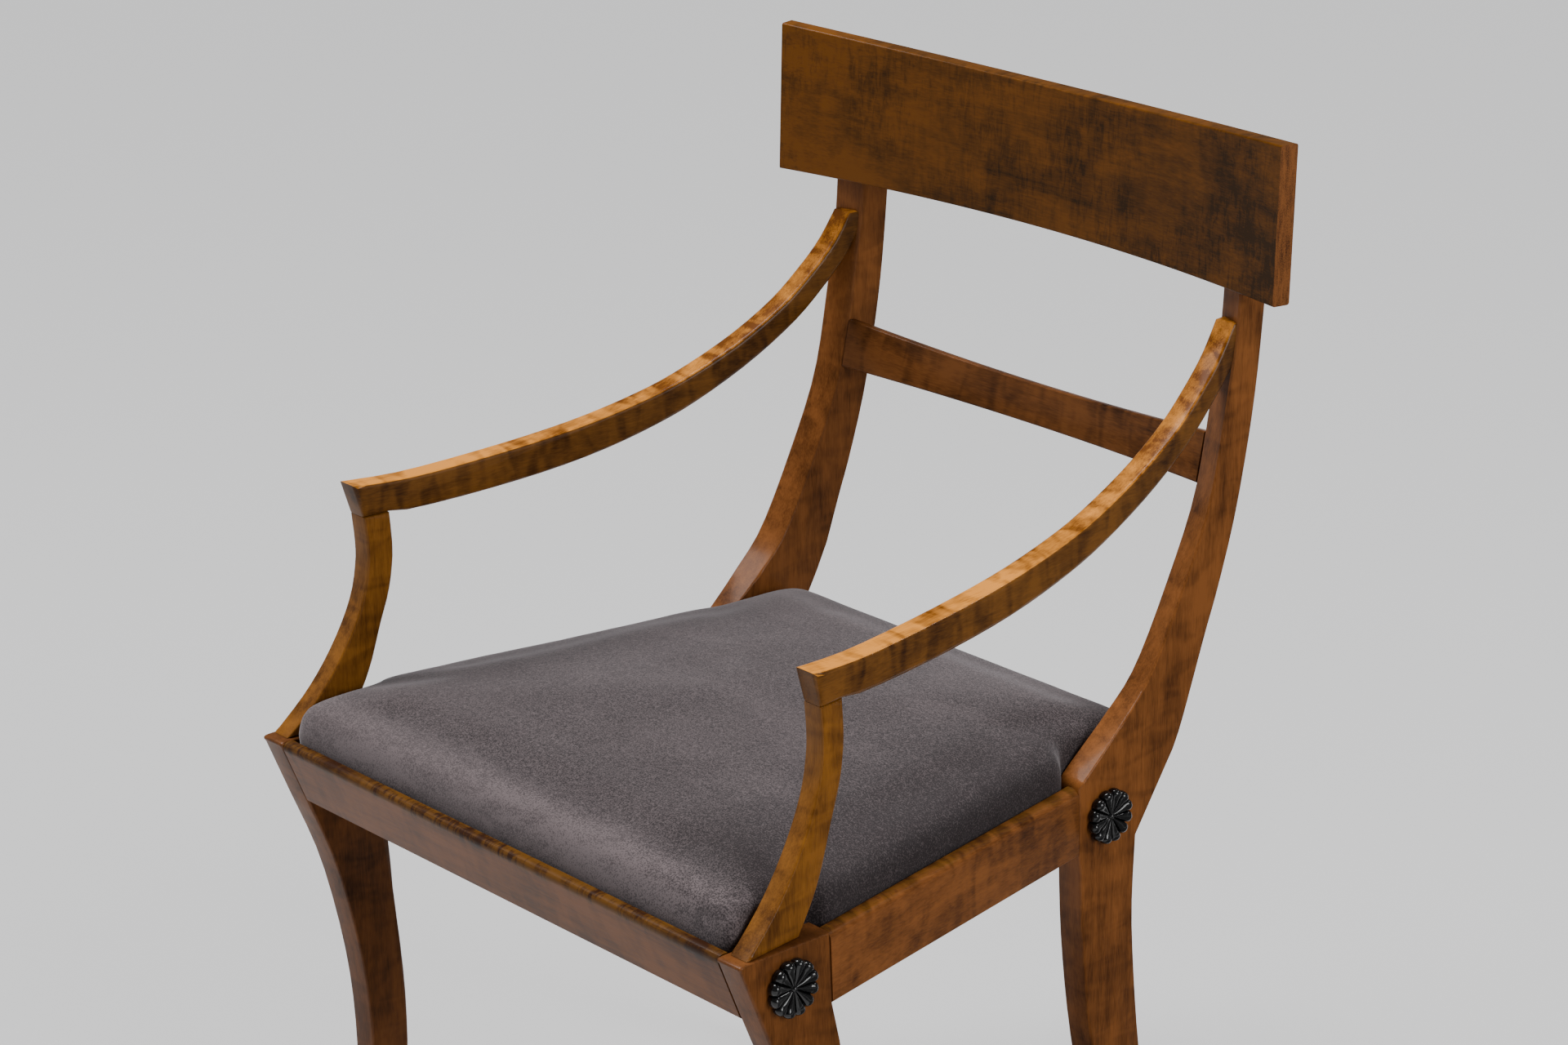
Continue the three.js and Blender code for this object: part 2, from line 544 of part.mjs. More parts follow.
function frontRailSolid() {
  const section = railSection(RAIL_THICKNESS * FRONT_RAIL_SHARE, blockFront);
  const reach = FRONT_IN - JOINT_GAP;
  return sweep(section, [-reach, reach].map((x) => (y, z) => new THREE.Vector3(x, y, z)));
}

function frontTenons(grow = 0) {
  const y = blockFront(TENON_MIDDLE) + RAIL_THICKNESS / 2;
  return [-1, 1].map((side) => tenon(side, FRONT_IN, y, Math.PI / 2, grow)).reduce((a, b) => a.add(b));
}

// The rear rail has no lip, and its rear face runs on with the slope of the rear legs
function rearFace(z) {
  if (z <= -RAIL_HEIGHT) return KINK_Y;
  return mix(KINK_Y, stileRear[0].x, (z + RAIL_HEIGHT) / (RAIL_HEIGHT + stileRear[0].y));
}

function rearRailSolid() {
  const section = [[0, -RAIL_HEIGHT], [0, -REBATE_DEPTH], [RAIL_THICKNESS, -REBATE_DEPTH],
    [RAIL_THICKNESS, -RAIL_HEIGHT]].map(([u, v]) => [rearFace(v) - RAIL_THICKNESS + u, v]);
  const reach = REAR_IN - JOINT_GAP;
  return sweep(section, [-reach, reach].map((x) => (y, z) => new THREE.Vector3(x, y, z)));
}

function rearTenons(grow = 0) {
  const y = rearFace(TENON_MIDDLE) - RAIL_THICKNESS / 2;
  return [-1, 1].map((side) => tenon(side, REAR_IN, y, Math.PI / 2, grow)).reduce((a, b) => a.add(b));
}

// Corner blocks: glued and screwed into the inner corners, their faces fitted to rails and leg
function sideInner(y) {
  return sideOuter(y) - (RAIL_THICKNESS + JOINT_GAP) / splayCos;
}

function cornerBlock(name, side, legInner, reach, railFace, legFace) {
  const low = CORNER_BLOCK_DROP - RAIL_HEIGHT;
  const outline = (z) => [[legInner - BLOCK_LEG, railFace(z)], [legInner - JOINT_GAP, railFace(z)],
    [sideInner(legFace(z)), legFace(z)], [sideInner(legFace(z) + reach), legFace(z) + reach]]
    .map(([x, y]) => new THREE.Vector2(side * x, y));
  const [tail, corner, , end] = outline(low + CORNER_BLOCK_HEIGHT / 2);
  const inward = end.clone().sub(tail).rotateAround(new THREE.Vector2(), Math.PI / 2).normalize();
  if (inward.dot(corner.clone().sub(tail)) < 0) inward.negate();
  const head = tail.clone().add(end).multiplyScalar(0.5).addScaledVector(inward, SCREW_SINK);
  const place = moved(head.x, head.y, low + CORNER_BLOCK_HEIGHT / 2, Math.atan2(inward.x, -inward.y));
  const hole = screw(CORNER_SCREW_LENGTH, place, JOINT_GAP);
  const heights = [low, low + CORNER_BLOCK_HEIGHT];
  const rings = heights.map((z) => outline(z).map((p) => new THREE.Vector3(p.x, p.y, z)));
  const block = loft(rings, outline(heights[0]), outline(heights[1]));
  add(`corner_block_${name}`, block.subtract(hole), innerWood);
  add(`corner_screw_${name}`, screw(CORNER_SCREW_LENGTH, place), steel);
  return hole;
}

function largest(solid) {
  return solid.decompose().sort((a, b) => b.volume() - a.volume())[0];
}

// Rosettes: a scalloped dome with a groove between petals and a small boss
const ROSETTE_RING_SHARES = [
  [0.985, 0], [1, 0.5], [0.9, 0.84], [0.65, 1], [0.3, 0.84], [0.2, 0.66], [0.1, 0.84],
];

function rosetteSolid(side, x, y, z) {
  const steps = ROSETTE_PETALS * PETAL_STEPS;
  const points = [new THREE.Vector3(0, 0, 0)];
  const rings = ROSETTE_RING_SHARES;
  for (const [radiusShare, heightShare] of rings) {
    for (let i = 0; i < steps; i += 1) {
      const turn = 2 * Math.PI * i / steps;
      const petal = Math.abs(Math.sin(turn * ROSETTE_PETALS / 2));
      const groove = 1 - (1 - petal) * PETAL_CUT_SHARE * radiusShare;
      const radius = ROSETTE_DIAMETER / 2 * radiusShare * groove;
      const dip = heightShare > PETAL_FOOT_SHARE ? (1 - petal) * PETAL_GROOVE_SHARE : 0;
      const height = ROSETTE_HEIGHT * heightShare * (1 - dip);
      points.push(new THREE.Vector3(height, radius * Math.cos(turn), radius * Math.sin(turn)));
    }
  }
  const last = rings.length - 1;
  points.push(new THREE.Vector3(ROSETTE_HEIGHT * rings[last][1], 0, 0));
  const faces = [];
  for (let i = 0; i < steps; i += 1) {
    const next = (i + 1) % steps;
    faces.push([0, 1 + next, 1 + i]);
    for (let ring = 0; ring < last; ring += 1) {
      const a = 1 + ring * steps;
      faces.push([a + i, a + next, a + steps + next], [a + i, a + steps + next, a + steps + i]);
    }
    const top = 1 + last * steps;
    faces.push([top + i, top + next, points.length - 1]);
  }
  const placed = points.map((p) => new THREE.Vector3(side * (x + JOINT_GAP + p.x), y + p.y, z + p.z));
  return body(placed, faces).add(spigot(side, x, y, z));
}

function spigot(side, x, y, z, grow = 0) {
  const length = SPIGOT_LENGTH + ROSETTE_RIM / 2;
  const centre = x - SPIGOT_LENGTH + length / 2;
  const lying = new THREE.Matrix4().makeRotationZ(Math.PI / 2).setPosition(side * centre, y, z);
  return pin(SPIGOT_DIAMETER + 2 * grow, length + 2 * grow, 16, lying);
}

// Wood screws with a slotted countersunk head, driven forwards from the back
function screw(length, place, grow = 0) {
  const head = SCREW_HEAD / 2 + grow;
  const shank = SCREW_SHANK / 2 + grow;
  const profile = [[0, -length - grow], [shank / 2, -length - grow], [shank, -length + SCREW_SHANK],
    [shank, -head], [head, 0], [head, grow * SCREW_SINK / JOINT_GAP], [0, grow * SCREW_SINK / JOINT_GAP]];
  const lathe = new THREE.LatheGeometry(profile.map(([r, h]) => new THREE.Vector2(r, h)), 12);
  const upright = fromGeometry(lathe, (p) => p.applyMatrix4(place));
  if (grow > 0) return upright;
  const slot = new THREE.Matrix4().makeTranslation(0, -SLOT_DEPTH / 2 + JOINT_GAP / 2, 0).premultiply(place);
  return upright.subtract(box([SCREW_HEAD * 2, SLOT_DEPTH + JOINT_GAP, SLOT_WIDTH], slot));
}

// Crest screws: [place on the crest, length] for the two screws of one stile
function crestScrews(side) {
  const rear = [...stileRear, ...tongueRear().slice(1)];
  const x = REAR_OUT - LEG_THICKNESS / 2;
  return CREST_SCREW_SHARES.map((share) => {
    const z = BACK_HEIGHT + share * TONGUE_HEIGHT;
    const headY = yAt(rear, z) + stileSkew(x, z) - SCREW_SINK;
    const tipY = crestBackY(x, z) - CREST_THICKNESS * SCREW_BITE_SHARE;
    return [headY - tipY, moved(side * x, headY, z)];
  });
}

// Drop-in seat: one plan outline for frame, stuffing and velvet, at a distance inside the rails
function sideLip(y) {
  return sideOuter(y) - LIP_WIDTH / splayCos;
}

function supportIn(y) {
  return ARM_CENTRE - SUPPORT_THICKNESS / 2 - ARM_SPLAY * (y - ARM_TIP_Y);
}

function seatPlan(inset, rearInset = inset, frontX = FRONT_IN) {
  const front = LIP_WIDTH + inset;
  const notchY = BLOCK_DEPTH + BLOCK_BACK_RAKE + NOTCH_PLAY + inset;
  const notchX = supportIn(notchY) - inset;
  const rearNotchY = SEAT_SPAN - inset;
  const rearX = REAR_IN - inset;
  const half = [[frontX - inset, front], [notchX, notchY], [sideLip(notchY) - inset, notchY],
    [sideLip(rearNotchY) - inset, rearNotchY], [rearX, rearNotchY],
    [rearX, SEAT_BACK + COVER_EDGE - rearInset]];
  return [...half, ...half.map(([x, y]) => [-x, y]).reverse()];
}

const DRAW_SHARES = [[0.33, 0.9], [0.67, 0.9]];

// A corner-to-corner outline with each corner rounded, and a row of points along its longer sides
function rounded(outline, roundAt, sidePoints) {
  const corners = outline.map(([x, y]) => new THREE.Vector2(x, y));
  const at = (i) => corners[(i + corners.length) % corners.length];
  const reach = (i, j) => {
    const share = roundAt(i) / at(i).distanceTo(at(j));
    return at(i).clone().lerp(at(j), Math.min(share, CORNER_SHARE));
  };
  return corners.flatMap((corner, i) => {
    const [start, end] = [reach(i, i + 1), reach(i + 1, i)];
    const round = new THREE.QuadraticBezierCurve(reach(i, i - 1), corner, start).getPoints(CORNER_STEPS);
    return [...round, ...sidePoints(start, end, i)];
  });
}

// A side drawn in between its corners
function drawnIn(start, end) {
  const inward = end.clone().sub(start).normalize().rotateAround(new THREE.Vector2(), Math.PI / 2);
  return DRAW_SHARES.map(([t, drawn]) => start.clone().lerp(end, t)
    .addScaledVector(inward, SIDE_DRAW * drawn));
}

// The seat's outline with its long sides drawn in
function softPlan(inset, frontX) {
  const plan = seatPlan(inset, inset, frontX);
  const widest = seatPlan(0).map(([x, y]) => new THREE.Vector2(x, y));
  const at = (i) => widest[(i + widest.length) % widest.length];
  const along = (i) => at(i + 1).clone().sub(at(i));
  const turnsIn = (i) => along(i - 1).cross(along(i)) < 0;
  const isLong = (i) => along(i).length() > CUSHION_ROLL * 3;
  return rounded(plan, (i) => (turnsIn(i) ? NOTCH_ROUND : CORNER_ROUND),
    (start, end, i) => (isLong(i) ? drawnIn(start, end) : []));
}

// The pad's full outline, as the velvet runs over it, without the notches for legs and supports
function padPlan(inset) {
  const shoulder = BLOCK_DEPTH + BLOCK_BACK_RAKE + inset;
  const hip = SEAT_SPAN - inset;
  const half = [[supportIn(LIP_WIDTH) + CORNER_SWELL - inset, LIP_WIDTH + inset],
    [sideLip(shoulder) - inset, shoulder], [sideLip(hip) - inset, hip],
    [REAR_IN + CORNER_SWELL - inset, SEAT_BACK + COVER_EDGE - inset]];
  return rounded([...half, ...half.map(([x, y]) => [-x, y]).reverse()], () => PAD_ROUND, drawnIn);
}

// Rings of the cushion: [inset, height] over its roll and shoulder, then [size, rise] over its crown
const ROLL_SHARES = [[0, 0.05], [0, 0.45], [0.1, 0.7], [0.4, 0.92], [1, 1.06]];
const CROWN_SHARES = [[0.75, 0.4], [0.45, 0.8], [0.15, 1]];

// The cushion's sides, down between the legs, and above the leg blocks out to the arm supports
function cushionSides(skirt, shrink) {
  const height = CUSHION_EDGE + CUSHION_CROWN * 2;
  const flat = (plan) => plan.map((p) => [p.x, p.y]);
  const ledge = BLOCK_CLEAR + shrink;
  return slab(flat(softPlan(COVER_EDGE + shrink)), skirt, height - skirt)
    .add(slab(flat(softPlan(COVER_EDGE + shrink, supportIn(LIP_WIDTH))), ledge, height - ledge));
}

function cushionSolid(skirt, shrink) {
  const rings = ROLL_SHARES.map(([inset, z]) => padPlan(inset * CUSHION_ROLL + shrink)
    .map((p) => new THREE.Vector3(p.x, p.y, z * CUSHION_EDGE - shrink)));
  rings[0].forEach((p) => { p.z = skirt; });
  const shoulder = rings[rings.length - 1];
  const middle = new THREE.Vector3(0, (LIP_WIDTH + SEAT_BACK) / 2, 0);
  for (const [size, rise] of CROWN_SHARES) {
    rings.push(shoulder.map((p) => new THREE.Vector3().lerpVectors(middle, p, size)
      .setZ(p.z + rise * CUSHION_CROWN)));
  }
  const outline = (ring) => ring.map((p) => new THREE.Vector2(p.x, p.y));
  const pad = loft(rings, outline(rings[0]), outline(rings[rings.length - 1]));
  return pad.intersect(cushionSides(skirt, shrink));
}

function slab(outline, low, height) {
  const shape = new THREE.Shape(outline.map(([x, y]) => new THREE.Vector2(x, y)));
  const geometry = new THREE.ExtrudeGeometry(shape, { depth: height, bevelEnabled: false });
  return fromGeometry(geometry, (p) => new THREE.Vector3(p.x, p.y, p.z + low));
}

const FRAME_LOW = JOINT_GAP - REBATE_DEPTH;
const FRAME_TOP = FRAME_LOW + SEAT_FRAME_HEIGHT;

function seatFrame() {
  const plan = seatPlan(SEAT_PLAY);
  const [front, notch, step, rearStep, rearNotch, rear] = plan;
  const frontInner = front[1] + SEAT_RAIL_WIDTH;
  const rearInner = rear[1] - SEAT_RAIL_WIDTH;
  const sideX = (y) => mix(front[0], notch[0], (y - front[1]) / (notch[1] - front[1]));
  add('seat_frame_front', slab([[-front[0], front[1]], front, [sideX(frontInner), frontInner],
    [-sideX(frontInner), frontInner]], FRAME_LOW, SEAT_FRAME_HEIGHT), innerWood);
  add('seat_frame_rear', slab([[-rear[0], rearInner], [rear[0], rearInner], rear, [-rear[0], rear[1]]],
    FRAME_LOW, SEAT_FRAME_HEIGHT), innerWood);
  for (const [name, side] of SIDES) {
    const low = frontInner + JOINT_GAP;
    const high = rearInner - JOINT_GAP;
    const outline = [[sideX(low), low], notch, step, rearStep, rearNotch, [rear[0], high],
      [rear[0] - SEAT_RAIL_WIDTH, high], [front[0] - SEAT_RAIL_WIDTH, low]];
    const rail = slab(outline.map(([x, y]) => [side * x, y]), FRAME_LOW, SEAT_FRAME_HEIGHT);
    add(`seat_frame_${name}`, rail, innerWood);
  }
}

function seatWebbing() {
  const low = LIP_WIDTH + SEAT_PLAY + SEAT_RAIL_WIDTH / 4;
  const high = SEAT_BACK - SEAT_PLAY - SEAT_RAIL_WIDTH / 4;
  const lowZ = FRAME_TOP + JOINT_GAP;
  const highZ = lowZ + WEB_THICKNESS + JOINT_GAP;
  for (let i = 0; i < WEB_ROWS; i += 1) {
    const place = (i - (WEB_ROWS - 1) / 2) / WEB_ROWS;
    const x = place * 2 * REAR_IN * WEB_SPREAD_SHARE;
    add(`webbing_long_${i + 1}`, box([WEB_WIDTH, high - low, WEB_THICKNESS],
      moved(x, (low + high) / 2, lowZ + WEB_THICKNESS / 2)), webbing);
    const y = (low + high) / 2 + place * (high - low) * WEB_SPREAD_SHARE;
    const reach = sideLip(y + WEB_WIDTH / 2) - SEAT_PLAY - SEAT_RAIL_WIDTH / 4;
    add(`webbing_cross_${i + 1}`, box([2 * reach, WEB_WIDTH, WEB_THICKNESS],
      moved(0, y, highZ + WEB_THICKNESS / 2)), webbing);
  }
  return highZ + WEB_THICKNESS + JOINT_GAP;
}

function seatUpholstery(padLow) {
  add('seat_stuffing', cushionSolid(padLow, COVER_THICKNESS + JOINT_GAP), stuffing);
  const hollow = cushionSolid(FRAME_LOW - COVER_THICKNESS, COVER_THICKNESS);
  add('seat_cover', cushionSolid(FRAME_LOW, 0).subtract(hollow), velvet);
  add('dust_cover', slab(seatPlan(DUST_COVER_INSET, DUST_COVER_INSET + RAIL_THICKNESS),
    FRAME_LOW - JOINT_GAP - DUST_COVER_THICKNESS, DUST_COVER_THICKNESS), lining);
}

function frame() {
  const front = frontRailSolid();
  const rear = rearRailSolid();
  let crest = crestSolid();
  for (const [name, side] of SIDES) {
    const frontX = FRONT_OUT - LEG_THICKNESS / 2;
    const rearX = REAR_OUT - LEG_THICKNESS / 2;
    const sideRail = sideRailSolid(side);
    const railHoles = sideTenons(side, JOINT_GAP);
    const supportHoles = supportTenons(side, JOINT_GAP);
    const dowelHole = armDowel(side, JOINT_GAP);
    const screws = crestScrews(side);
    const screwHoles = screws.map(([length, place]) => screw(length, place, JOINT_GAP))
      .reduce((a, b) => a.add(b));
    const frontLeg = board(frontLegOutline(), LEG_THICKNESS, EDGE_EASE, side * frontX);
    const rearLeg = board(rearLegOutline(), LEG_THICKNESS, EDGE_EASE, side * rearX, stileBend);

    const frontScrewHole = cornerBlock(`front_${name}`, side, FRONT_IN, BLOCK_LEG * FRONT_BLOCK_SHARE,
      (z) => blockFront(z) + RAIL_THICKNESS * FRONT_RAIL_SHARE + JOINT_GAP,
      (z) => BLOCK_DEPTH + blockBack(z));
    const rearScrewHole = cornerBlock(`rear_${name}`, side, REAR_IN, -BLOCK_LEG * REAR_BLOCK_SHARE,
      (z) => rearFace(z) - RAIL_THICKNESS - JOINT_GAP, (z) => SEAT_SPAN + blockBack(z));

    add(`front_leg_${name}`, frontLeg.subtract(frontTenons(JOINT_GAP)).subtract(railHoles)
      .subtract(supportHoles).subtract(frontScrewHole)
      .subtract(spigot(side, FRONT_OUT, ROSETTE_FRONT_Y, ROSETTE_Z, JOINT_GAP)), wood);
    add(`rear_leg_${name}`, rearLeg.subtract(rearTenons(JOINT_GAP)).subtract(railHoles)
      .subtract(slatMortises()).subtract(dowelHole).subtract(screwHoles).subtract(rearScrewHole)
      .subtract(spigot(side, REAR_OUT, ROSETTE_REAR_Y, ROSETTE_Z, JOINT_GAP)), wood);
    add(`side_rail_${name}`, sideRail.add(sideTenons(side)), wood);

    const arm = board(armOutline(), ARM_WIDTH, ARM_EASE, 0, splayed(side, ARM_FRONT_OUT - ARM_WIDTH / 2));
    add(`armrest_${name}`, largest(arm.subtract(rearLeg.translate([0, -JOINT_GAP, 0])).subtract(dowelHole)
      .subtract(supportHoles)), armWood);
    const support = board(supportOutline(), SUPPORT_THICKNESS, EDGE_EASE, 0, splayed(side, ARM_CENTRE));
    add(`arm_support_${name}`, support.add(supportTenons(side)), armWood);
    add(`arm_dowel_${name}`, armDowel(side), innerWood);
    add(`rosette_front_${name}`, rosetteSolid(side, FRONT_OUT, ROSETTE_FRONT_Y, ROSETTE_Z), ebonised);
    add(`rosette_rear_${name}`, rosetteSolid(side, REAR_OUT, ROSETTE_REAR_Y, ROSETTE_Z), ebonised);
    screws.forEach(([length, place], i) => add(`crest_screw_${name}_${i + 1}`, screw(length, place), steel));
    crest = crest.subtract(screwHoles);
  }
  add('front_rail', front.add(frontTenons()), wood);
  add('rear_rail', rear.add(rearTenons()), wood);
  add('crest_rail', crest, crestWood);
  add('back_slat', slatSolid(), crestWood);
}

frame();
seatFrame();
seatUpholstery(seatWebbing());

// Pieces are worked out from the horn tip and the rail top, and moved to the floor origin here
const { min, max } = new THREE.Box3().setFromObject(chair);
chair.position.set(0, -(min.y + max.y) / 2, RAIL_TOP);

export default chair;
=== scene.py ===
"""Klismos armchair: finishes, carved rosettes and a stuffed velvet seat on the packed frame.

Lengths are in metres. Every piece is made in the frame's own coordinates: +Z is up and the
front of the chair faces -Y.
"""

import math
from types import SimpleNamespace

import bmesh
import bpy
from bpy.props import FloatProperty, FloatVectorProperty, IntProperty, PointerProperty
from mathutils import Matrix, Vector, noise
from mathutils.bvhtree import BVHTree


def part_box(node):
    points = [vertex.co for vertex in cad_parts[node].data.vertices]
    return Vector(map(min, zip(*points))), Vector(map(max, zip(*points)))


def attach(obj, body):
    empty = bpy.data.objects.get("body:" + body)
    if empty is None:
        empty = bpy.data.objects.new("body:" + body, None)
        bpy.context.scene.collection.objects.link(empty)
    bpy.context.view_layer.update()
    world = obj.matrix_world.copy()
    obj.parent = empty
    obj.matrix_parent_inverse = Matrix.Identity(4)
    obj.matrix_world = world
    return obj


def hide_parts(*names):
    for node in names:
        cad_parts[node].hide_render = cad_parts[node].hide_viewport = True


bl_info = {
    "name": "Klismos Armchair",
    "version": (1, 0, 0),
    "blender": (4, 5, 0),
    "location": "3D View > Sidebar > Klismos",
    "description": "Finishes, rosettes, velvet seat and studio for a klismos armchair",
    "category": "Object",
}

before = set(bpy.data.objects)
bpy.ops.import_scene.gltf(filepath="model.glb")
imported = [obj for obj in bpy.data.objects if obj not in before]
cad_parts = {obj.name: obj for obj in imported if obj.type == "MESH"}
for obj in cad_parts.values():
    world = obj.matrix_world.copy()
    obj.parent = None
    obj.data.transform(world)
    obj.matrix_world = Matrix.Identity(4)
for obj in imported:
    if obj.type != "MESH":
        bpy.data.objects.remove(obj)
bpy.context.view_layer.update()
SIDES = {"left": -1, "right": 1}
QUARTER_TURN = math.pi / 2
SAME_PLACE = 1e-6   # vertices nearer to each other than this are one


def colour(name, description, default):
    return FloatVectorProperty(name=name, description=description, default=default,
                               subtype="COLOR", size=3, min=0, max=1)


def length(name, description, default):
    return FloatProperty(name=name, description=description, default=default,
                         subtype="DISTANCE", unit="LENGTH", min=0, precision=4)


def share(name, description, default):
    return FloatProperty(name=name, description=description, default=default,
                         subtype="FACTOR", min=0, max=1)


class KLISMOS_PG_wood(bpy.types.PropertyGroup):
    """Stain and lacquer of the birch"""

    frame_dark: colour("Frame dark", "Darkest streaks of legs and rails", (0.024, 0.0075, 0.0020))
    frame_light: colour("Frame light", "Lightest streaks of legs and rails", (0.145, 0.0500, 0.0125))
    arm_dark: colour("Arm dark", "Cross-bands of arms and supports", (0.110, 0.0330, 0.0040))
    arm_light: colour("Arm light", "Lightest grain of arms and supports", (0.580, 0.2220, 0.0330))
    crest_dark: colour("Crest dark", "Dark figure of the crest", (0.026, 0.0098, 0.0006))
    crest_light: colour("Crest light", "Lightest grain of the crest", (0.136, 0.0455, 0.0035))
    gold: colour("Rubbed edge", "Golden wood where the stain is rubbed off the rail's edge",
                 (0.092, 0.0370, 0.0045))
    raw: colour("Raw wood", "Unfinished wood out of sight", (0.500, 0.340, 0.180))
    gloss: share("Roughness", "Roughness of the satin lacquer", 0.36)
    coat: share("Coat", "Strength of the lacquer's clear coat", 0.12)


class KLISMOS_PG_rosette(bpy.types.PropertyGroup):
    """Carved and ebonised rosettes"""

    petals: IntProperty(name="Petals", description="Petals of one rosette", default=12, min=6, max=32)
    height: length("Height", "How far a rosette stands out from the leg", 0.0085)
    colour: colour("Colour", "Ebonised wood", (0.0025, 0.0025, 0.0028))
    gloss: share("Roughness", "Roughness of the black polish", 0.2)


class KLISMOS_PG_seat(bpy.types.PropertyGroup):
    """Velvet drop-in seat"""

    shade: colour("Velvet", "Velvet where the pile lies away", (0.017, 0.0128, 0.0134))
    brushed: colour("Brushed velvet", "Velvet where the pile is brushed up", (0.108, 0.086, 0.0880))
    voxel: length("Remesh size", "Grid of the cloth before it swells", 0.005)
    pressure: FloatProperty(name="Pressure", description="Pressure of the stuffing", default=4, min=0)
    swell: length("Swell", "How far the cloth may move from the cushion's cut shape", 0.004)


class KLISMOS_PG_studio(bpy.types.PropertyGroup):
    """Floor, lights and camera"""

    floor: colour("Floor", "Pale studio floor", (0.560, 0.560, 0.563))
    ambient: FloatProperty(name="Ambient", description="Strength of the pale surroundings", default=0.3,
                           min=0)
    sun: FloatProperty(name="Daylight", description="Strength of the wide overhead daylight", default=4.5,
                       min=0)
    overhead: FloatProperty(name="Overhead", description="Overhead softbox", default=25, unit="POWER")
    side: FloatProperty(name="Side", description="Softbox at the front left", default=7, unit="POWER")
    fill: FloatProperty(name="Fill", description="Soft fill at the right of the chair", default=70,
                        unit="POWER")
    edges: FloatProperty(name="Edges", description="Softbox behind that lights the arrises", default=14,
                         unit="POWER")
    lens: FloatProperty(name="Lens", description="Focal length on a 36 mm wide sensor, in millimetres",
                        default=94.25, unit="CAMERA")
    camera: FloatVectorProperty(name="Camera", description="Place of the camera", subtype="TRANSLATION",
                                unit="LENGTH", default=(2.1496, -1.9468, 1.6324))
    target: FloatVectorProperty(name="Target", description="Point in the middle of the picture",
                                subtype="TRANSLATION", unit="LENGTH", default=(0.0656, -0.0605, 0.6259))


GROUPS = {
    "klismos_wood": KLISMOS_PG_wood,
    "klismos_rosette": KLISMOS_PG_rosette,
    "klismos_seat": KLISMOS_PG_seat,
    "klismos_studio": KLISMOS_PG_studio,
}


# Materials

class Socket:
    """An output of a node that takes part in Python expressions"""

    def __init__(self, finish, output):
        self.finish = finish
        self.output = output

    def __add__(self, other):
        return self.finish.math("ADD", self, other)

    def __sub__(self, other):
        return self.finish.math("SUBTRACT", self, other)

    def __rsub__(self, other):
        return self.finish.math("SUBTRACT", other, self)

    def __mul__(self, other):
        return self.finish.math("MULTIPLY", self, other)

    __radd__ = __add__
    __rmul__ = __mul__


def opaque(shade):
    return (*shade, 1)


class Finish:
    """One material. Every node of it comes from node()."""

    def __init__(self, name, **constants):
        self.material = bpy.data.materials.new(name)
        self.material.use_nodes = True
        self.tree = self.material.node_tree
        self.shader = self.tree.nodes["Principled BSDF"]
        self.wear(**constants)

    def node(self, kind, settings, inputs, output=0):
        made = self.tree.nodes.new(kind)
        for setting, value in settings.items():
            if setting == "stops":
                self.set_stops(made.color_ramp, value)
            else:
                setattr(made, setting, value)
        self.feed(made, inputs)
        return Socket(self, made.outputs[output])

    def feed(self, node, inputs):
        """Links sockets to the node's inputs, and sets the inputs that stay constant"""
        for name, value in inputs.items():
            if isinstance(value, Socket):
                self.tree.links.new(value.output, node.inputs[name])
            else:
                node.inputs[name].default_value = value

    def set_stops(self, ramp, stops):
        while len(ramp.elements) < len(stops):
            ramp.elements.new(1)
        for element, (place, shade) in zip(ramp.elements, stops):
            element.position = place
            element.color = opaque(shade)

    def math(self, operation, *values):
        return self.node("ShaderNodeMath", {"operation": operation}, dict(enumerate(values)))

    def ramp(self, value, *stops):
        return self.node("ShaderNodeValToRGB", {"stops": stops}, {"Fac": value})

    def step(self, value, low, high):
        """0 at low, 1 at high, smooth in between"""
        return self.node("ShaderNodeMapRange", {"interpolation_type": "SMOOTHSTEP"},
                         {"Value": value, "From Min": low, "From Max": high})

    def mix(self, factor, a, b):
        """Colour a where the factor is 0 and b where it is 1. Inputs 6 and 7 and output 2 of the node
        are its colours."""
        return self.node("ShaderNodeMix", {"data_type": "RGBA"}, {"Factor": factor, 6: a, 7: b}, 2)

    def place(self, turn=(0, 0, 0), centre=(0, 0, 0)):
        """Object coordinates about a centre, turned so that X runs along the turned axis"""
        where = self.node("ShaderNodeTexCoord", {}, {}, "Object")
        return self.node("ShaderNodeMapping", {"vector_type": "TEXTURE"},
                         {"Vector": where, "Location": centre, "Rotation": turn})

    def stretch(self, place, scale):
        return self.node("ShaderNodeVectorMath", {"operation": "MULTIPLY"}, {0: place, 1: scale})

    def axis(self, place, name):
        """One coordinate of a place"""
        return self.node("ShaderNodeSeparateXYZ", {}, {"Vector": place}, name)

    def noise(self, place, scale=1, detail=2, roughness=0.5, distortion=0):
        return self.node("ShaderNodeTexNoise", {},
                         {"Vector": place, "Scale": scale, "Detail": detail, "Roughness": roughness,
                          "Distortion": distortion})

    def bump(self, height, depth, strength):
        return self.node("ShaderNodeBump", {}, {"Height": height, "Distance": depth, "Strength": strength})

    def wear(self, **inputs):
        """Sets the shader's inputs, with _ for the spaces in their names"""
        self.feed(self.shader, {socket.replace("_", " "): value for socket, value in inputs.items()})
        return self.material


GRAIN_UP = (0, -QUARTER_TURN, 0)
GRAIN_ACROSS = (0, 0, 0)
GRAIN_BACK = (0, 0, QUARTER_TURN)

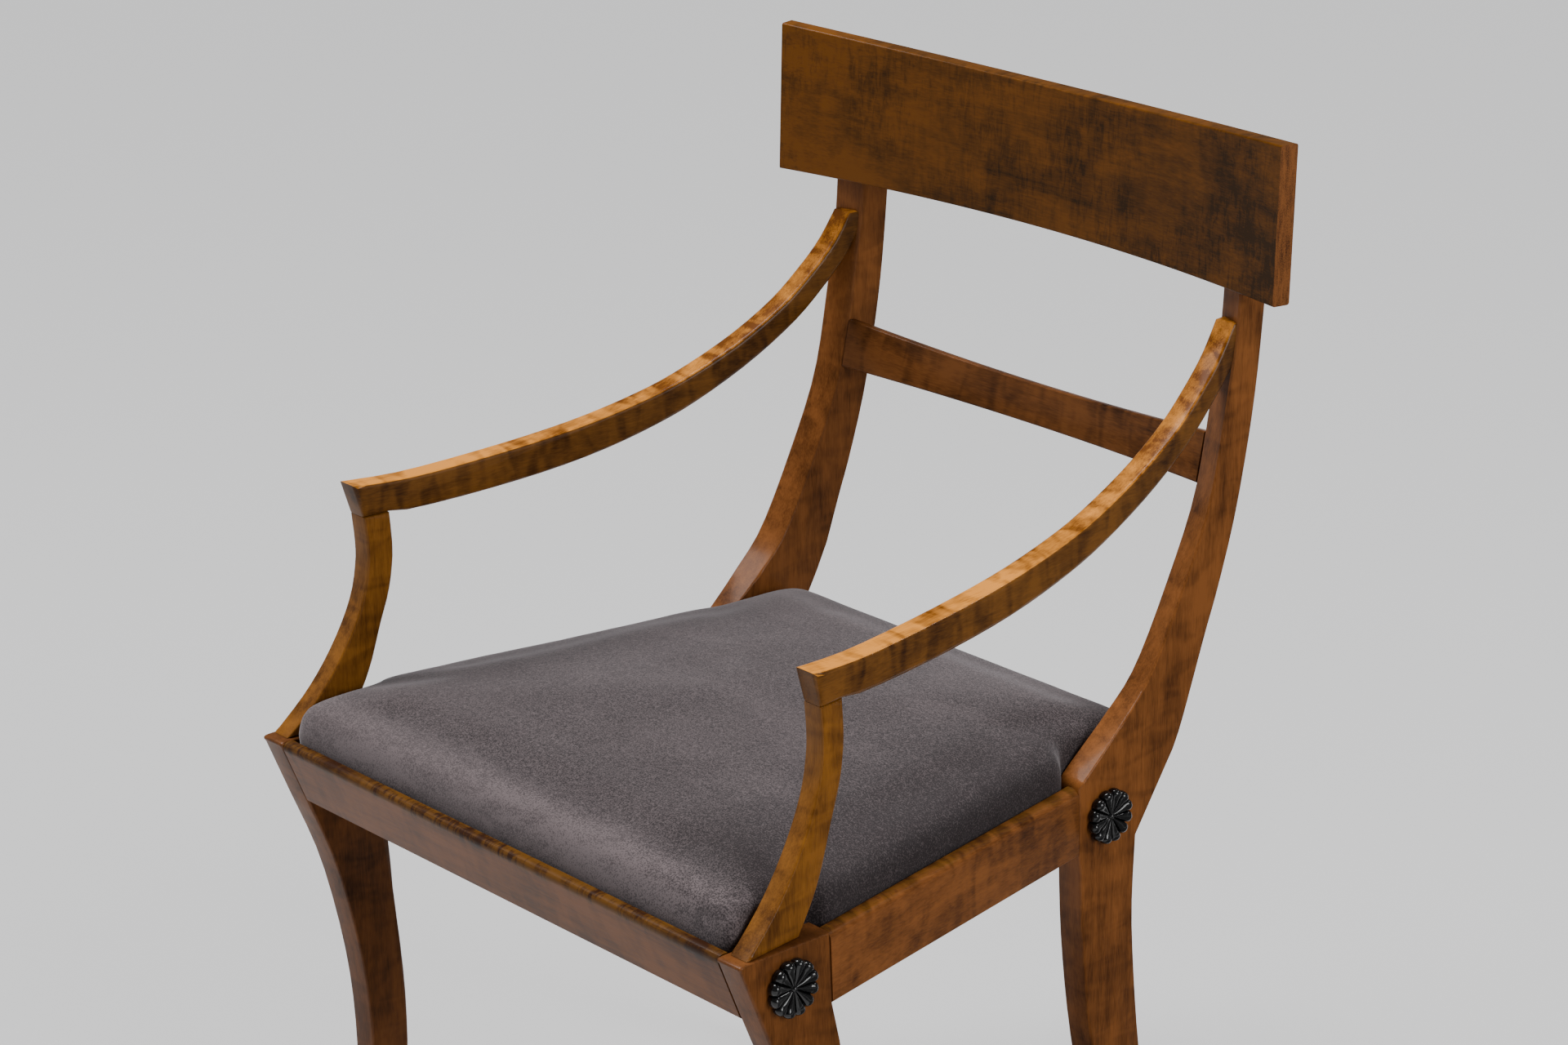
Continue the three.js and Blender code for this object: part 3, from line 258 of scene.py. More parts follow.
# The birch's noises: how closely each one repeats, per metre along the grain and across it, then
# its detail, roughness and distortion
FIGURE = {
    "wander": ((10, 24, 24), 4, 0.6, 0.4),      # slow changes of tone
    "streaks": ((9, 170, 170), 5, 0.66, 0.5),   # the long grain
    "pores": ((110, 1000, 1000), 1, 0.5, 0),
    "cross": ((62, 24, 24), 1, 0.5, 0.9),       # soft bands across the grain
    "flecks": ((210, 52, 52), 3, 0.65, 0.9),    # the short dark marks of curly birch
    "patches": ((9, 12, 12), 1, 0.5, 0),        # where those marks show
    "blots": ((42, 26, 26), 1, 0.5, 0.4),       # larger dark spots
}
CONTRAST = 1.35   # of the grain's tone about its middle
RAGGED = 0.008    # how far the rubbed edge strays from its line
RUB_EASE = 0.005  # height over which the stain gives way to gold


def stain(kind, factor=1):
    """The dark and the light shade of one kind of wood, made darker or lighter by a factor"""
    wood = bpy.context.scene.klismos_wood
    return [tuple(value * factor for value in getattr(wood, f"{kind}_{end}")) for end in ("dark", "light")]


def figured(finish, place):
    """The birch's noises by name, in coordinates whose X runs along the grain"""
    return SimpleNamespace(**{
        name: finish.noise(finish.stretch(place, repeats), 1, detail, roughness, distortion)
        for name, (repeats, detail, roughness, distortion) in FIGURE.items()})


def rubbed(finish, shade, grain, tone, dark, height):
    """The shade with the stain rubbed to gold above a height, along a ragged line"""
    gold = finish.ramp(tone, (0.22, dark), (0.52, tuple(bpy.context.scene.klismos_wood.gold)))
    level = finish.axis(finish.place(), "Z") + (grain.cross - 0.5) * RAGGED + (grain.streaks - 0.5) * 0.003
    return finish.mix(finish.step(level, height, height + RUB_EASE), shade, gold)


def lacquered(name, shades, turn, bands, mottle, seed, polish=0.07, drift=0, painted_front_light=0, worn_above=None):
    """Stained birch under lacquer. The grain runs along X of the turned coordinates, and the
    figure crosses it in soft bands; mottle adds the short dark flecks of curly birch. The wood
    grows lighter along X by drift. Painted light makes it lighter towards the front, by
    painted_front_light. Above the height worn_above, the stain is rubbed to gold."""
    wood = bpy.context.scene.klismos_wood
    dark, light = shades
    finish = Finish(name, Coat_Weight=wood.coat, Coat_Roughness=0.13, Specular_IOR_Level=polish)
    grain = figured(finish, finish.place(turn, (seed, 0.37 * seed, 0)))
    curl = finish.step(grain.flecks, 0.44, 0.64) * finish.step(grain.patches, 0.3, 0.6)
    curl = curl + finish.step(grain.blots, 0.5, 0.72) * 0.5
    tone = (grain.streaks * 0.36 + grain.wander * 0.64 - 0.5) * CONTRAST + 0.5
    tone = tone + (grain.pores - 0.5) * 0.3
    if drift:
        tone = tone + finish.axis(finish.place(), "X") * drift
    # Painted light: lighter towards the front
    if painted_front_light:
        tone = tone - finish.axis(finish.place(), "Y") * painted_front_light
    tone = tone - (finish.step(grain.cross, 0.36, 0.72) - 0.3) * bands - curl * mottle
    middle = [(a + b) / 2 for a, b in zip(dark, light)]
    shade = finish.ramp(tone, (0.18, dark), (0.42, middle), (0.66, light))
    if worn_above is not None:
        shade = rubbed(finish, shade, grain, tone - curl * 0.2, dark, worn_above)
    lift = finish.bump(grain.streaks * 0.5 + grain.pores * 0.5, 0.0002, 0.35)
    return finish.wear(Base_Color=shade, Roughness=wood.gloss + (grain.pores - 0.5) * 0.14, Normal=lift)


def end_grain(name, shades):
    """Sawn end of a board: fine pores over growth rings"""
    wood = bpy.context.scene.klismos_wood
    finish = Finish(name, Coat_Weight=wood.coat, Coat_Roughness=0.25, Specular_IOR_Level=0.1)
    place = finish.place()
    pores = finish.noise(place, 1500, 1)
    rings = finish.noise(finish.stretch(place, (20, 420, 60)), detail=2)
    shade = finish.ramp(rings * 0.5 + pores * 0.5, (0.3, shades[0]), (0.6, shades[1]))
    return finish.wear(Base_Color=shade, Roughness=0.5 + pores * 0.1)


def raw_wood(name, turn):
    """Planed wood without a finish"""
    light = tuple(bpy.context.scene.klismos_wood.raw)
    dark = [value * 0.55 for value in light]
    finish = Finish(name)
    streaks = finish.noise(finish.stretch(finish.place(turn), (5, 130, 130)), detail=4)
    return finish.wear(Base_Color=finish.ramp(streaks, (0.3, dark), (0.62, light)), Roughness=0.75)


def plain(name, shade, **constants):
    return Finish(name, Base_Color=opaque(shade), **constants).material


def woven(name, shade, pitch):
    """Plain weave: over and under threads as a sine in each direction"""
    finish = Finish(name, Roughness=0.9)
    place = finish.place()
    waves = [finish.math("SINE", finish.axis(place, axis) * (math.tau / pitch)) for axis in "XY"]
    level = waves[0] * waves[1] * 0.5 + 0.5
    dark = [value * 0.5 for value in shade]
    return finish.wear(Base_Color=finish.mix(level, opaque(dark), opaque(shade)),
                       Normal=finish.bump(level, 0.0003, 0.6))


# Pieces

def linked(name, data):
    """A new object in the scene"""
    made = bpy.data.objects.new(name, data)
    bpy.context.scene.collection.objects.link(made)
    return made


def mesh_of(shape, name):
    """A mesh with the shape, which is freed"""
    mesh = bpy.data.meshes.new(name)
    shape.to_mesh(mesh)
    shape.free()
    return mesh


def modify(piece, name, kind, **settings):
    modifier = piece.modifiers.new(name, kind)
    for setting, value in settings.items():
        setattr(modifier, setting, value)
    return modifier


def smooth_faces(mesh):
    for polygon in mesh.polygons:
        polygon.use_smooth = True


def dress(node, material, other_material=None, is_other=None):
    """A CAD node keeps its shape. Its loose triangles are welded for shading, and the broad
    faces keep their own normals, so that the eased arrises catch the light. The other material
    goes on the faces whose normal is_other accepts."""
    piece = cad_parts[node]
    piece.data.materials.clear()
    piece.data.materials.append(material)
    if other_material:
        piece.data.materials.append(other_material)
        for polygon in piece.data.polygons:
            polygon.material_index = int(is_other(polygon.normal))
    modify(piece, "Weld", "WELD", merge_threshold=SAME_PLACE)
    modify(piece, "Crisp corners", "EDGE_SPLIT", split_angle=math.radians(50))
    modify(piece, "Soft arrises", "WEIGHTED_NORMAL", weight=90, keep_sharp=False)
    smooth_faces(piece.data)


def finished(name, mesh, material, body, slot, *nodes):
    """Links a new piece, and lets it ride a body in place of some CAD nodes"""
    piece = linked(name, mesh)
    mesh.materials.append(material)
    smooth_faces(mesh)
    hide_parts(*nodes)
    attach(piece, body)
    return piece


def welded_copy(node):
    """The CAD node's surface with its loose triangles joined up"""
    shape = bmesh.new()
    shape.from_mesh(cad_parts[node].data)
    bmesh.ops.remove_doubles(shape, verts=shape.verts, dist=SAME_PLACE)
    return shape


class KLISMOS_OT_frame_wood(bpy.types.Operator):
    """Finish the legs and the seat rails in reddish-brown birch"""

    bl_idname = "klismos.frame_wood"
    bl_label = "Legs and rails"

    WORN = 0.0095   # width of the golden edge below the front rail's top
    RUBBED = 0.004   # the same on the side rails
    REAR_PAINTED_LIGHT = 1.4   # painted light: the rear legs and side rails are coloured lighter than the front legs and rails, for the light that falls on them

    def execute(self, context):
        shades = stain("frame")
        # Painted light: a lighter copy of the frame's shades for the rear legs and side rails
        painted_lit_shades = stain("frame", self.REAR_PAINTED_LIGHT)
        upright = lacquered("Leg birch", shades, GRAIN_UP, 0.12, 0, 1.3)
        rear = lacquered("Rear leg birch", painted_lit_shades, GRAIN_UP, 0.12, 0, 4.6)
        across = lacquered("Rail birch", shades, GRAIN_ACROSS, 0.12, 0.03, 2.1,
                           worn_above=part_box("front_rail")[1].z - self.WORN)
        back = lacquered("Side rail birch", painted_lit_shades, GRAIN_BACK, 0.14, 0.02, 3.7,
                         worn_above=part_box("side_rail_left")[1].z - self.RUBBED)
        for side in SIDES:
            dress(f"front_leg_{side}", upright)
            dress(f"rear_leg_{side}", rear)
            dress(f"side_rail_{side}", back)
        dress("front_rail", across)
        dress("rear_rail", across)
        return {"FINISHED"}


class KLISMOS_OT_back(bpy.types.Operator):
    """Finish the crest rail and the slat in dark mottled birch"""

    bl_idname = "klismos.back"
    bl_label = "Crest and slat"

    END_TONE = 1.3   # sawn ends are lighter than the faces
    END_FACE = 0.9   # a face whose normal points sideways more than this is a sawn end

    def execute(self, context):
        ends = end_grain("Crest end grain", stain("frame", self.END_TONE))
        crest = lacquered("Crest birch", stain("crest"), GRAIN_ACROSS, 0.08, 0.15, 5.2, polish=0.035,
                          drift=-0.45)
        slat = lacquered("Slat birch", stain("frame"), GRAIN_ACROSS, 0.16, 0.02, 6.4, polish=0.04)
        dress("crest_rail", crest, ends, lambda normal: abs(normal.x) > self.END_FACE)
        dress("back_slat", slat)
        return {"FINISHED"}


class KLISMOS_OT_arms(bpy.types.Operator):
    """Finish the arms and their supports in golden banded birch"""

    bl_idname = "klismos.arms"
    bl_label = "Arms"

    SIDE_PAINTED_SHADE = 0.25   # painted shade: the arms' sides are coloured darker than their lit tops
    UPWARD = 0.4   # faces that look up less than this get the painted shade of the arms' sides
    SUPPORT_TONE = 0.34   # the supports are stained darker than the arms

    def execute(self, context):
        low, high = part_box("armrest_right")
        along = (math.atan2(high.z - low.z, high.y - low.y), 0, QUARTER_TURN)
        # Painted light: the arms' tops grow lighter towards the front
        arm = lacquered("Arm birch", stain("arm"), along, 0.3, 0.03, 7.9, polish=0.03, painted_front_light=0.75)
        # Painted shade: a darker copy of the arm's wood for the faces that don't look up
        arm_shaded = lacquered("Arm side birch", stain("arm", self.SIDE_PAINTED_SHADE), along, 0.24, 0.03, 7.9,
                             polish=0.12)
        support = lacquered("Support birch", stain("arm", self.SUPPORT_TONE), GRAIN_UP, 0.18, 0, 8.8)
        for side in SIDES:
            dress(f"armrest_{side}", arm, arm_shaded, lambda normal: normal.z < self.UPWARD)
            dress(f"arm_support_{side}", support)
        return {"FINISHED"}


class KLISMOS_OT_rosettes(bpy.types.Operator):
    """Carve the four rosettes on the outer faces of the legs"""

    bl_idname = "klismos.rosettes"
    bl_label = "Rosettes"

    # One petal's ridge from rim to middle: [share of the radius, share of the height]
    RIDGE = ((0.95, 0), (0.99, 0.15), (1, 0.36), (0.99, 0.6), (0.96, 0.8), (0.91, 0.94), (0.85, 1),
             (0.78, 0.98), (0.71, 0.91), (0.63, 0.86), (0.52, 0.82), (0.41, 0.77), (0.3, 0.71),
             (0.21, 0.65), (0.14, 0.61), (0.1, 0.6), (0.085, 0.68), (0.05, 0.78), (0, 0.81))
    STEPS = 14   # facets round one petal
    SCALLOP = 0.13   # the rim is drawn in by this share of the radius between two petals
    GROOVE = 0.46   # the grooves between the petals are this share of the height deep
    INNER = 0.09   # share of the radius inside which the boss stays round
    FADE = 0.16   # share of the radius over which the grooves begin
    DUSTY = (0.012, 0.011, 0.010)   # the black where dust dulls it

    def ebonised(self, settings):
        """Black polish with a little dust"""
        finish = Finish("Ebonised", Coat_Weight=0.7, Coat_Roughness=0.06, Specular_IOR_Level=0.1)
        dust = finish.noise(finish.place(), 700, 3)
        shade = finish.ramp(dust, (0.45, tuple(settings.colour)), (0.9, self.DUSTY))
        return finish.wear(Base_Color=shade, Roughness=settings.gloss + dust * 0.1,
                           Normal=finish.bump(dust, 0.0001, 0.1))

    def spun(self, radius, settings):
        """A petal's ridge spun into a dome round the Z axis, closed underneath"""
        shape = bmesh.new()
        ridge = [shape.verts.new((radius * out, 0, settings.height * up)) for out, up in self.RIDGE]
        edges = [shape.edges.new(pair) for pair in zip(ridge, ridge[1:])]
        bmesh.ops.spin(shape, geom=ridge + edges, cent=(0, 0, 0), axis=(0, 0, 1), angle=math.tau,
                       steps=settings.petals * self.STEPS, use_merge=True)
        bmesh.ops.remove_doubles(shape, verts=shape.verts, dist=SAME_PLACE)
        bmesh.ops.contextual_create(shape, geom=[edge for edge in shape.edges if edge.is_boundary])
        return shape

    def carve(self, shape, radius, petals):
        """Draws the dome in between its petals"""
        for vert in shape.verts:
            reach = math.hypot(vert.co.x, vert.co.y)
            if reach < self.INNER * radius:
                continue
            turn = math.atan2(vert.co.y, vert.co.x) * petals / math.tau
            off = 2 * abs(turn - math.floor(turn) - 0.5)
            hollow = 1 - math.sqrt(max(1 - off ** 2, 0))
            hollow *= min((reach / radius - self.INNER) / self.FADE, 1)
            vert.co.x *= 1 - self.SCALLOP * hollow
            vert.co.y *= 1 - self.SCALLOP * hollow
            vert.co.z *= 1 - self.GROOVE * hollow

    def mount(self, shape, node, way, height):
        """Turns the shape to face outwards, and moves it to the node's place on the leg"""
        low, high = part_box(node)
        middle = (low + high) / 2
        face = (high.x if way > 0 else low.x) - way * height
        outwards = Matrix.Rotation(way * QUARTER_TURN, 3, "Y")
        bmesh.ops.rotate(shape, verts=shape.verts, matrix=outwards)
        bmesh.ops.translate(shape, verts=shape.verts, vec=(face, middle.y, middle.z))
        bmesh.ops.recalc_face_normals(shape, faces=shape.faces)

    def execute(self, context):
        settings = context.scene.klismos_rosette
        material = self.ebonised(settings)
        for side, way in SIDES.items():
            for end in ("front", "rear"):
                node = f"rosette_{end}_{side}"
                low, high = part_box(node)
                radius = (high.z - low.z) / 2
                shape = self.spun(radius, settings)
                self.carve(shape, radius, settings.petals)
                self.mount(shape, node, way, settings.height)
                mesh = mesh_of(shape, node)
                piece = finished(f"carved_{node}", mesh, material, "chair", "ebonised", node)
                modify(piece, "Crisp corners", "EDGE_SPLIT", split_angle=math.radians(55))
        return {"FINISHED"}


class KLISMOS_OT_seat(bpy.types.Operator):
    """Stuff the drop-in seat and cover it in velvet"""

    bl_idname = "klismos.seat"
    bl_label = "Seat"

    TUCK = 0.00015   # the velvet's turned-under margin below the seat frame
    HEM_DEPTH = 0.018   # the velvet's edge hangs straight this far below the rails' tops
    HEM_EASE = 0.008   # height over which the straight edge becomes the rounded cloth
    ROUNDING = 9   # rounds of smoothing before the cloth is blown out
    FIRM = (0.003, 0.016)   # height above the rails over which the cloth becomes free to move
    FRAMES = 20   # of the cloth simulation
    PLUMP = 0.0062   # the stuffing lifts the cloth this far above its cut shape
    SINK = 0.001   # the furthest that the cloth may sink into it
    SIDEWAYS = 0.0008   # the furthest that the cloth may bulge sideways
    SHOULDER = 1.6   # lifts the cushion's rounded shoulders with its top
    UNEVEN = 0.0009   # height of the broad lumps in the stuffing; the small ones have a third of it
    BROAD, SMALL = 14, 37   # how closely the lumps repeat, per metre
    PULL = 20   # rounds of smoothing above the rails afterwards
    LIFTS = (0, 0.01, 0.02, 0.03)   # heights of the seat at which it passes the arm supports
    PASSES = 2   # times that the cloth is drawn back at each height
    REACH = 0.01   # how far from a support the cloth is looked at
    CLEAR = 0.0034   # room between the cloth and a support
    UPRIGHT = 0.2   # faces of a support that look sideways less than this don't push the cloth
    BAND = (0.12, 0.03)   # behind the front edge: where the brushed band ends, and where it is full
    PAINTED_SHEEN_EDGE = (0.065, 0.035)   # the same for the painted sheen: light patches on the front edge, in place of the velvet's sheen there
    PAINTED_SHADE_RIGHT = (0.1, 0.22)   # painted shade towards the right of the seat: where it begins, and where it is full

    def outer_skin(self):
        """The outside of the CAD cover as a closed body, with a flat bottom"""
        shape = welded_copy("seat_cover")
        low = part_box("seat_cover")[0]
        rim = [face for face in shape.faces if all(v.co.z < low.z + 1e-4 for v in face.verts)]
        bmesh.ops.delete(shape, geom=rim, context="FACES")
        outside = self.island(max(shape.verts, key=lambda v: v.co.z))
        bmesh.ops.delete(shape, geom=[v for v in shape.verts if v not in outside], context="VERTS")
        bmesh.ops.holes_fill(shape, edges=[edge for edge in shape.edges if edge.is_boundary])
        bmesh.ops.recalc_face_normals(shape, faces=shape.faces)
        return shape

    def island(self, start):
        """All vertices that edges join to the start"""
        found = {start}
        open_ends = [start]
        while open_ends:
            for edge in open_ends.pop().link_edges:
                for vert in edge.verts:
                    if vert not in found:
                        found.add(vert)
                        open_ends.append(vert)
        return found

    def freedom(self, height):
        """How free the cloth is at a height above the rails: 0 below FIRM, 1 above it"""
        low, high = self.FIRM
        t = min(max((height - low) / (high - low), 0), 1)
        return t * t * (3 - 2 * t)

    def weigh(self, cushion, name, weights):
        """A vertex group with one weight for each vertex"""
        group = cushion.vertex_groups.new(name=name)
        for index, weight in enumerate(weights):
            group.add([index], weight, "REPLACE")
        return group.name

    def smooth(self, cushion, name, rounds, group):
        modify(cushion, name, "SMOOTH", vertex_group=group, iterations=rounds)
        bpy.ops.object.modifier_apply(modifier=name)

    def blow_out(self, cushion, free, pressure):
        """Lets the pressure of the stuffing move the cloth where it is free"""
        cloth = modify(cushion, "Cloth", "CLOTH")
        cloth.settings.use_pressure = True
        cloth.settings.uniform_pressure_force = pressure
        cloth.settings.vertex_group_mass = self.weigh(cushion, "Held", [1 - loose for loose in free])
        cloth.settings.effector_weights.gravity = 0
        for step in range(1, self.FRAMES + 1):
            bpy.context.scene.frame_set(step)
        bpy.ops.object.modifier_apply(modifier=cloth.name)
        bpy.context.scene.frame_set(1)

    def settle(self, mesh, before, normals, free, swell):
        """Limits how far the cloth has moved from its places before, and adds the stuffing's lumps"""
        for vertex, rest, out, loose in zip(mesh.vertices, before, normals, free):
            rise = self.PLUMP + min(max((vertex.co - rest).dot(out), -self.SINK), swell)
            rise += (noise.noise(rest * self.BROAD) * self.UNEVEN
                     + noise.noise(rest * self.SMALL) * self.UNEVEN / 3)
            flat = Vector((out.x, out.y, 0)) * min(max(rise, 0), self.SIDEWAYS)
            lift = min(max(out.z, 0) * self.SHOULDER, 1) * rise
            vertex.co = rest + (flat + Vector((0, 0, lift))) * loose

    def keep_clear(self, mesh):
        """Draws the cloth back from the arm supports, at rest and all the way up as the seat is lifted"""
        for side in SIDES:
            support = welded_copy(f"arm_support_{side}")
            surface = BVHTree.FromBMesh(support)
            support.free()
            for vertex in mesh.vertices:
                for lift in self.LIFTS * self.PASSES:
                    spot = vertex.co + Vector((0, 0, lift))
                    near, out, _, _ = surface.find_nearest(spot, self.REACH)
                    if near is None:
                        continue
                    room = (spot - near).dot(out)
                    aside = Vector((out.x, out.y, 0))
                    if room < self.CLEAR and aside.length > self.UPRIGHT:
                        vertex.co += aside * (self.CLEAR - room) / aside.length_squared

    def swollen(self, cut, settings):
        """The cut shape after its stuffing has pressed the cloth out"""
        rail_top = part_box("front_rail")[1].z
        cushion = linked("cushion", cut)
        bpy.context.view_layer.objects.active = cushion
        modify(cushion, "Remesh", "REMESH", mode="VOXEL", voxel_size=settings.voxel)
        bpy.ops.object.modifier_apply(modifier="Remesh")
        above = [min(max((vertex.co.z - rail_top + self.HEM_DEPTH) / self.HEM_EASE, 0), 1)
                 for vertex in cushion.data.vertices]
        self.smooth(cushion, "Rounded folds", self.ROUNDING, self.weigh(cushion, "Above the hem", above))
        before = [vertex.co.copy() for vertex in cushion.data.vertices]
        normals = [vertex.normal.copy() for vertex in cushion.data.vertices]
        free = [self.freedom(rest.z - rail_top) for rest in before]
        self.blow_out(cushion, free, settings.pressure)
        self.settle(cushion.data, before, normals, free, settings.swell)
        self.smooth(cushion, "Pulled taut", self.PULL, self.weigh(cushion, "Taut", free))
        mesh = cushion.data
        bpy.data.objects.remove(cushion)
        self.keep_clear(mesh)
        return mesh

    def velvet(self, settings):
        """Short pile: fine speckle, brushed patches, a painted sheen along the front, painted shade
        towards the right, and a sheen at grazing angles"""
        finish = Finish("Velvet", Sheen_Weight=0.35, Sheen_Roughness=0.4, Sheen_Tint=(0.8, 0.77, 0.8, 1),
                        Specular_IOR_Level=0.15)
        place = finish.place()
        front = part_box("seat_cover")[0].y

        def along_front(stray, ends, full):
            """1 along the front edge and 0 behind it, with a border that strays"""
            return finish.step(finish.axis(place, "Y") + stray, front + ends, front + full)

        pile = finish.noise(place, 900, 1)
        nap = finish.noise(place, 330, 2, 0.6)
        strokes = finish.noise(finish.stretch(place, (7, 11, 11)), detail=3, roughness=0.6, distortion=0.5)
        sheen_patches = finish.noise(finish.stretch(place, (17, 30, 44)), detail=4, roughness=0.68, distortion=0.6)
        band = along_front(strokes * 0.08, *self.BAND) * finish.step(strokes, 0.3, 0.7)
        # Painted sheen: light patches along the front edge, in place of the velvet's sheen
        painted_sheen = finish.step(sheen_patches, 0.42, 0.62) * (finish.step(pile, 0.3, 0.6) * 0.6 + 0.15) + 0.3
        painted_sheen = along_front(sheen_patches * 0.05, *self.PAINTED_SHEEN_EDGE) * painted_sheen
        # Painted shade: the velvet is darkened towards the right
        flat = finish.step(finish.axis(place, "X"), *self.PAINTED_SHADE_RIGHT)
        tone = finish.step(strokes, 0.4, 0.75) * 0.16 - flat * 0.3 + painted_sheen + band * 0.06
        tone = tone + finish.step(pile, 0.38, 0.64) * 0.5 + finish.step(nap, 0.4, 0.68) * 0.22
        shade = finish.mix(tone, opaque(settings.shade), opaque(settings.brushed))
        return finish.wear(Base_Color=shade, Roughness=0.8 + pile * 0.2,
                           Normal=finish.bump(pile * 0.6 + nap * 0.4, 0.0006, 0.5))

    def execute(self, context):
        settings = context.scene.klismos_seat
        mesh = self.swollen(mesh_of(self.outer_skin(), "seat_cut"), settings)
        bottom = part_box("seat_cover")[0].z - self.TUCK
        for vertex in mesh.vertices:
            if vertex.co.z < bottom + settings.voxel / 2:
                vertex.co.z = bottom
        seat = finished("velvet_seat", mesh, self.velvet(settings), "seat", "velvet", "seat_cover")
        modify(seat, "Smooth cloth", "SUBSURF", levels=1, render_levels=1)
        return {"FINISHED"}


class KLISMOS_OT_hidden(bpy.types.Operator):
    """Finish what is out of sight: blocks, seat frame, webbing, stuffing and screws"""

    bl_idname = "klismos.hidden"
    bl_label = "Inside and fastenings"

    PRESSED_IN = 0.003   # the taut velvet presses the stuffing in

    def execute(self, context):
        inner = raw_wood("Raw block wood", GRAIN_ACROSS)
        inner_back = raw_wood("Raw seat frame wood", GRAIN_BACK)
        steel = plain("Screw steel", (0.36, 0.35, 0.33), Metallic=1, Roughness=0.42)
        jute = woven("Jute webbing", (0.42, 0.31, 0.16), 0.004)
        wadding = plain("Wadding", (0.62, 0.54, 0.4), Roughness=1)
        cambric = woven("Cambric", (0.022, 0.021, 0.021), 0.0012)
        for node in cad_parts:
            if "corner_block" in node or "dowel" in node or node in ("seat_frame_front", "seat_frame_rear"):
                dress(node, inner)
            elif "seat_frame" in node:
                dress(node, inner_back)
            elif "screw" in node:
                dress(node, steel)
            elif "webbing" in node:
                dress(node, jute)
        dress("seat_stuffing", wadding)
        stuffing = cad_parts["seat_stuffing"]
        modify(stuffing, "Pressed in by the cloth", "DISPLACE", mid_level=0, strength=-self.PRESSED_IN)
        stuffing.modifiers.move(len(stuffing.modifiers) - 1, 1)   # straight after the weld
        dress("dust_cover", cambric)
        return {"FINISHED"}


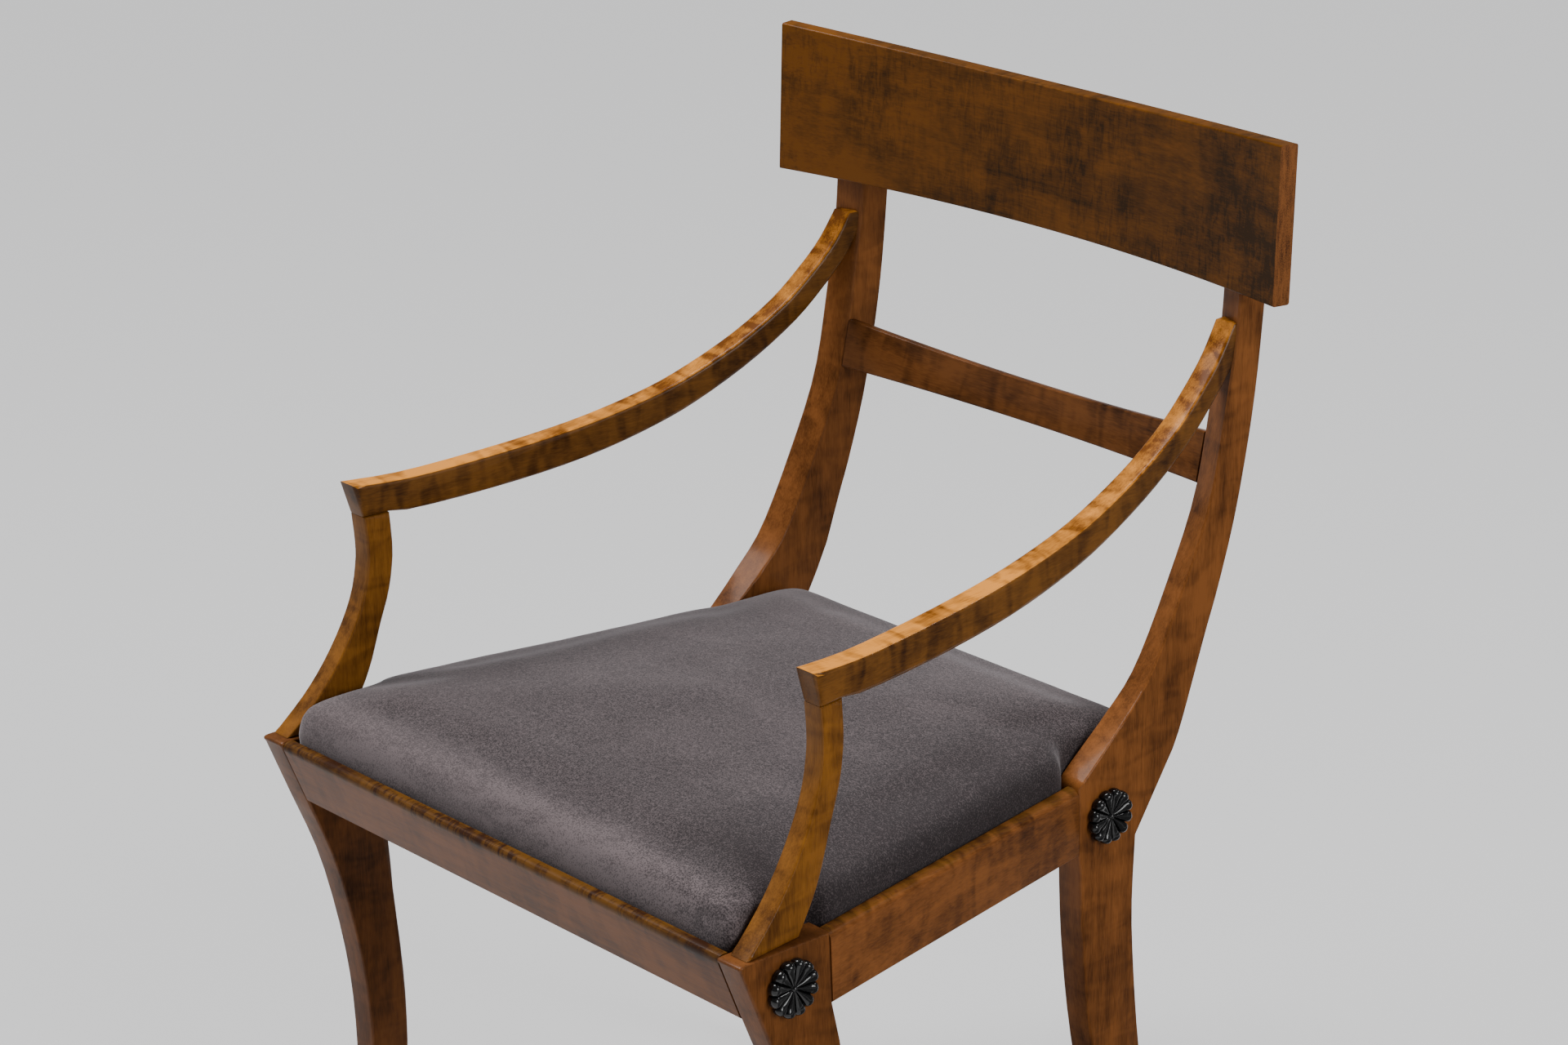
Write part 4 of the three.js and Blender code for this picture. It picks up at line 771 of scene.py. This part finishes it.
class KLISMOS_OT_studio(bpy.types.Operator):
    """Set up the pale floor, the soft lights and the camera"""

    bl_idname = "klismos.studio"
    bl_label = "Studio"

    FLOOR = ((-30, -30), (30, 30))   # opposite corners
    CLOTH = ((0.34, -0.2), (3.4, 3.2))   # the same of the black cloth on the floor
    CLOTH_LIFT = 0.002
    SUN_WIDTH = math.radians(35)
    SUN_AIM = (0.34, 0.06, -1)
    AIM = (0, 0, 0.5)   # the softboxes look at this point of the chair
    LIGHTS = {   # name: place, side of the square, setting that holds its power
        "Overhead": ((-1.2, -0.9, 2.7), 0.9, "overhead"),
        "Front left": ((-2.4, -2.2, 1.5), 2.0, "side"),
        "Fill": ((3.0, 0.1, 1.8), 1.6, "fill"),
        "Edges": ((1.3, 2.6, 3.2), 0.5, "edges"),
    }
    SENSOR = 36   # width in millimetres

    def surround(self, context, settings):
        """Pale light from all round"""
        world = bpy.data.worlds.new("Studio")
        world.use_nodes = True
        background = world.node_tree.nodes["Background"]
        background.inputs["Color"].default_value = opaque(settings.floor)
        background.inputs["Strength"].default_value = settings.ambient
        context.scene.world = world

    def sheet(self, name, corners, height, material):
        """A flat rectangle"""
        (left, front), (right, back) = corners
        shape = bmesh.new()
        bmesh.ops.create_grid(shape, x_segments=1, y_segments=1, size=0.5)
        bmesh.ops.scale(shape, verts=shape.verts, vec=(right - left, back - front, 1))
        middle = ((left + right) / 2, (front + back) / 2, height)
        bmesh.ops.translate(shape, verts=shape.verts, vec=middle)
        mesh = mesh_of(shape, name)
        mesh.materials.append(material)
        return linked(name, mesh)

    def lay_floor(self, settings):
        pale = plain("Pale floor", settings.floor, Roughness=0.9, Specular_IOR_Level=0.1)
        floor = self.sheet("Floor", self.FLOOR, 0, pale)

    def lay_cloth(self):
        """A photographer's black cloth at the right of the chair. It takes the floor's light off the
        sides that face it; the camera and the shadows pass it by."""
        black = plain("Black cloth", (0.08, 0.08, 0.08), Roughness=1)
        cloth = self.sheet("Black cloth", self.CLOTH, self.CLOTH_LIFT, black)
        cloth.visible_camera = False
        cloth.visible_shadow = False

    def point(self, thing, direction):
        """Turns a light or a camera to look along a direction"""
        thing.rotation_euler = direction.to_track_quat("-Z", "Y").to_euler()

    def light(self, settings):
        """Wide daylight from above, and the softboxes"""
        daylight = bpy.data.lights.new("Daylight", "SUN")
        daylight.energy = settings.sun
        daylight.angle = self.SUN_WIDTH
        self.point(linked("Daylight", daylight), Vector(self.SUN_AIM))
        for name, (place, size, power) in self.LIGHTS.items():
            softbox = bpy.data.lights.new(name, "AREA")
            softbox.size = size
            softbox.energy = getattr(settings, power)
            lamp = linked(name, softbox)
            lamp.location = place
            self.point(lamp, Vector(self.AIM) - lamp.location)

    def set_camera(self, context, settings):
        lens = bpy.data.cameras.new("Camera")
        lens.lens = settings.lens
        lens.sensor_width = self.SENSOR
        camera = linked("Camera", lens)
        camera.location = settings.camera
        self.point(camera, Vector(settings.target) - camera.location)
        context.scene.camera = camera

    def execute(self, context):
        settings = context.scene.klismos_studio
        self.surround(context, settings)
        self.lay_floor(settings)
        self.lay_cloth()
        self.light(settings)
        self.set_camera(context, settings)
        return {"FINISHED"}


OPERATORS = (KLISMOS_OT_frame_wood, KLISMOS_OT_back, KLISMOS_OT_arms, KLISMOS_OT_rosettes,
             KLISMOS_OT_seat, KLISMOS_OT_hidden, KLISMOS_OT_studio)


class KLISMOS_PT_panel(bpy.types.Panel):
    """Lists the chair's pieces"""

    bl_idname = "KLISMOS_PT_panel"
    bl_label = "Klismos Armchair"
    bl_space_type = "VIEW_3D"
    bl_region_type = "UI"
    bl_category = "Klismos"

    def draw(self, context):
        for operator in OPERATORS:
            self.layout.operator(operator.bl_idname)
        for group, kind in GROUPS.items():
            box = self.layout.box()
            box.label(text=kind.__doc__)
            for setting in kind.__annotations__:
                box.prop(getattr(context.scene, group), setting)


CLASSES = (*GROUPS.values(), *OPERATORS, KLISMOS_PT_panel)


def register():
    for kind in CLASSES:
        bpy.utils.register_class(kind)
    for name, kind in GROUPS.items():
        setattr(bpy.types.Scene, name, PointerProperty(type=kind))


def unregister():
    for name in GROUPS:
        delattr(bpy.types.Scene, name)
    for kind in reversed(CLASSES):
        bpy.utils.unregister_class(kind)


def main():
    register()
    for operator in OPERATORS:
        group, name = operator.bl_idname.split(".")
        getattr(getattr(bpy.ops, group), name)()


if __name__ == "__main__":
    main()
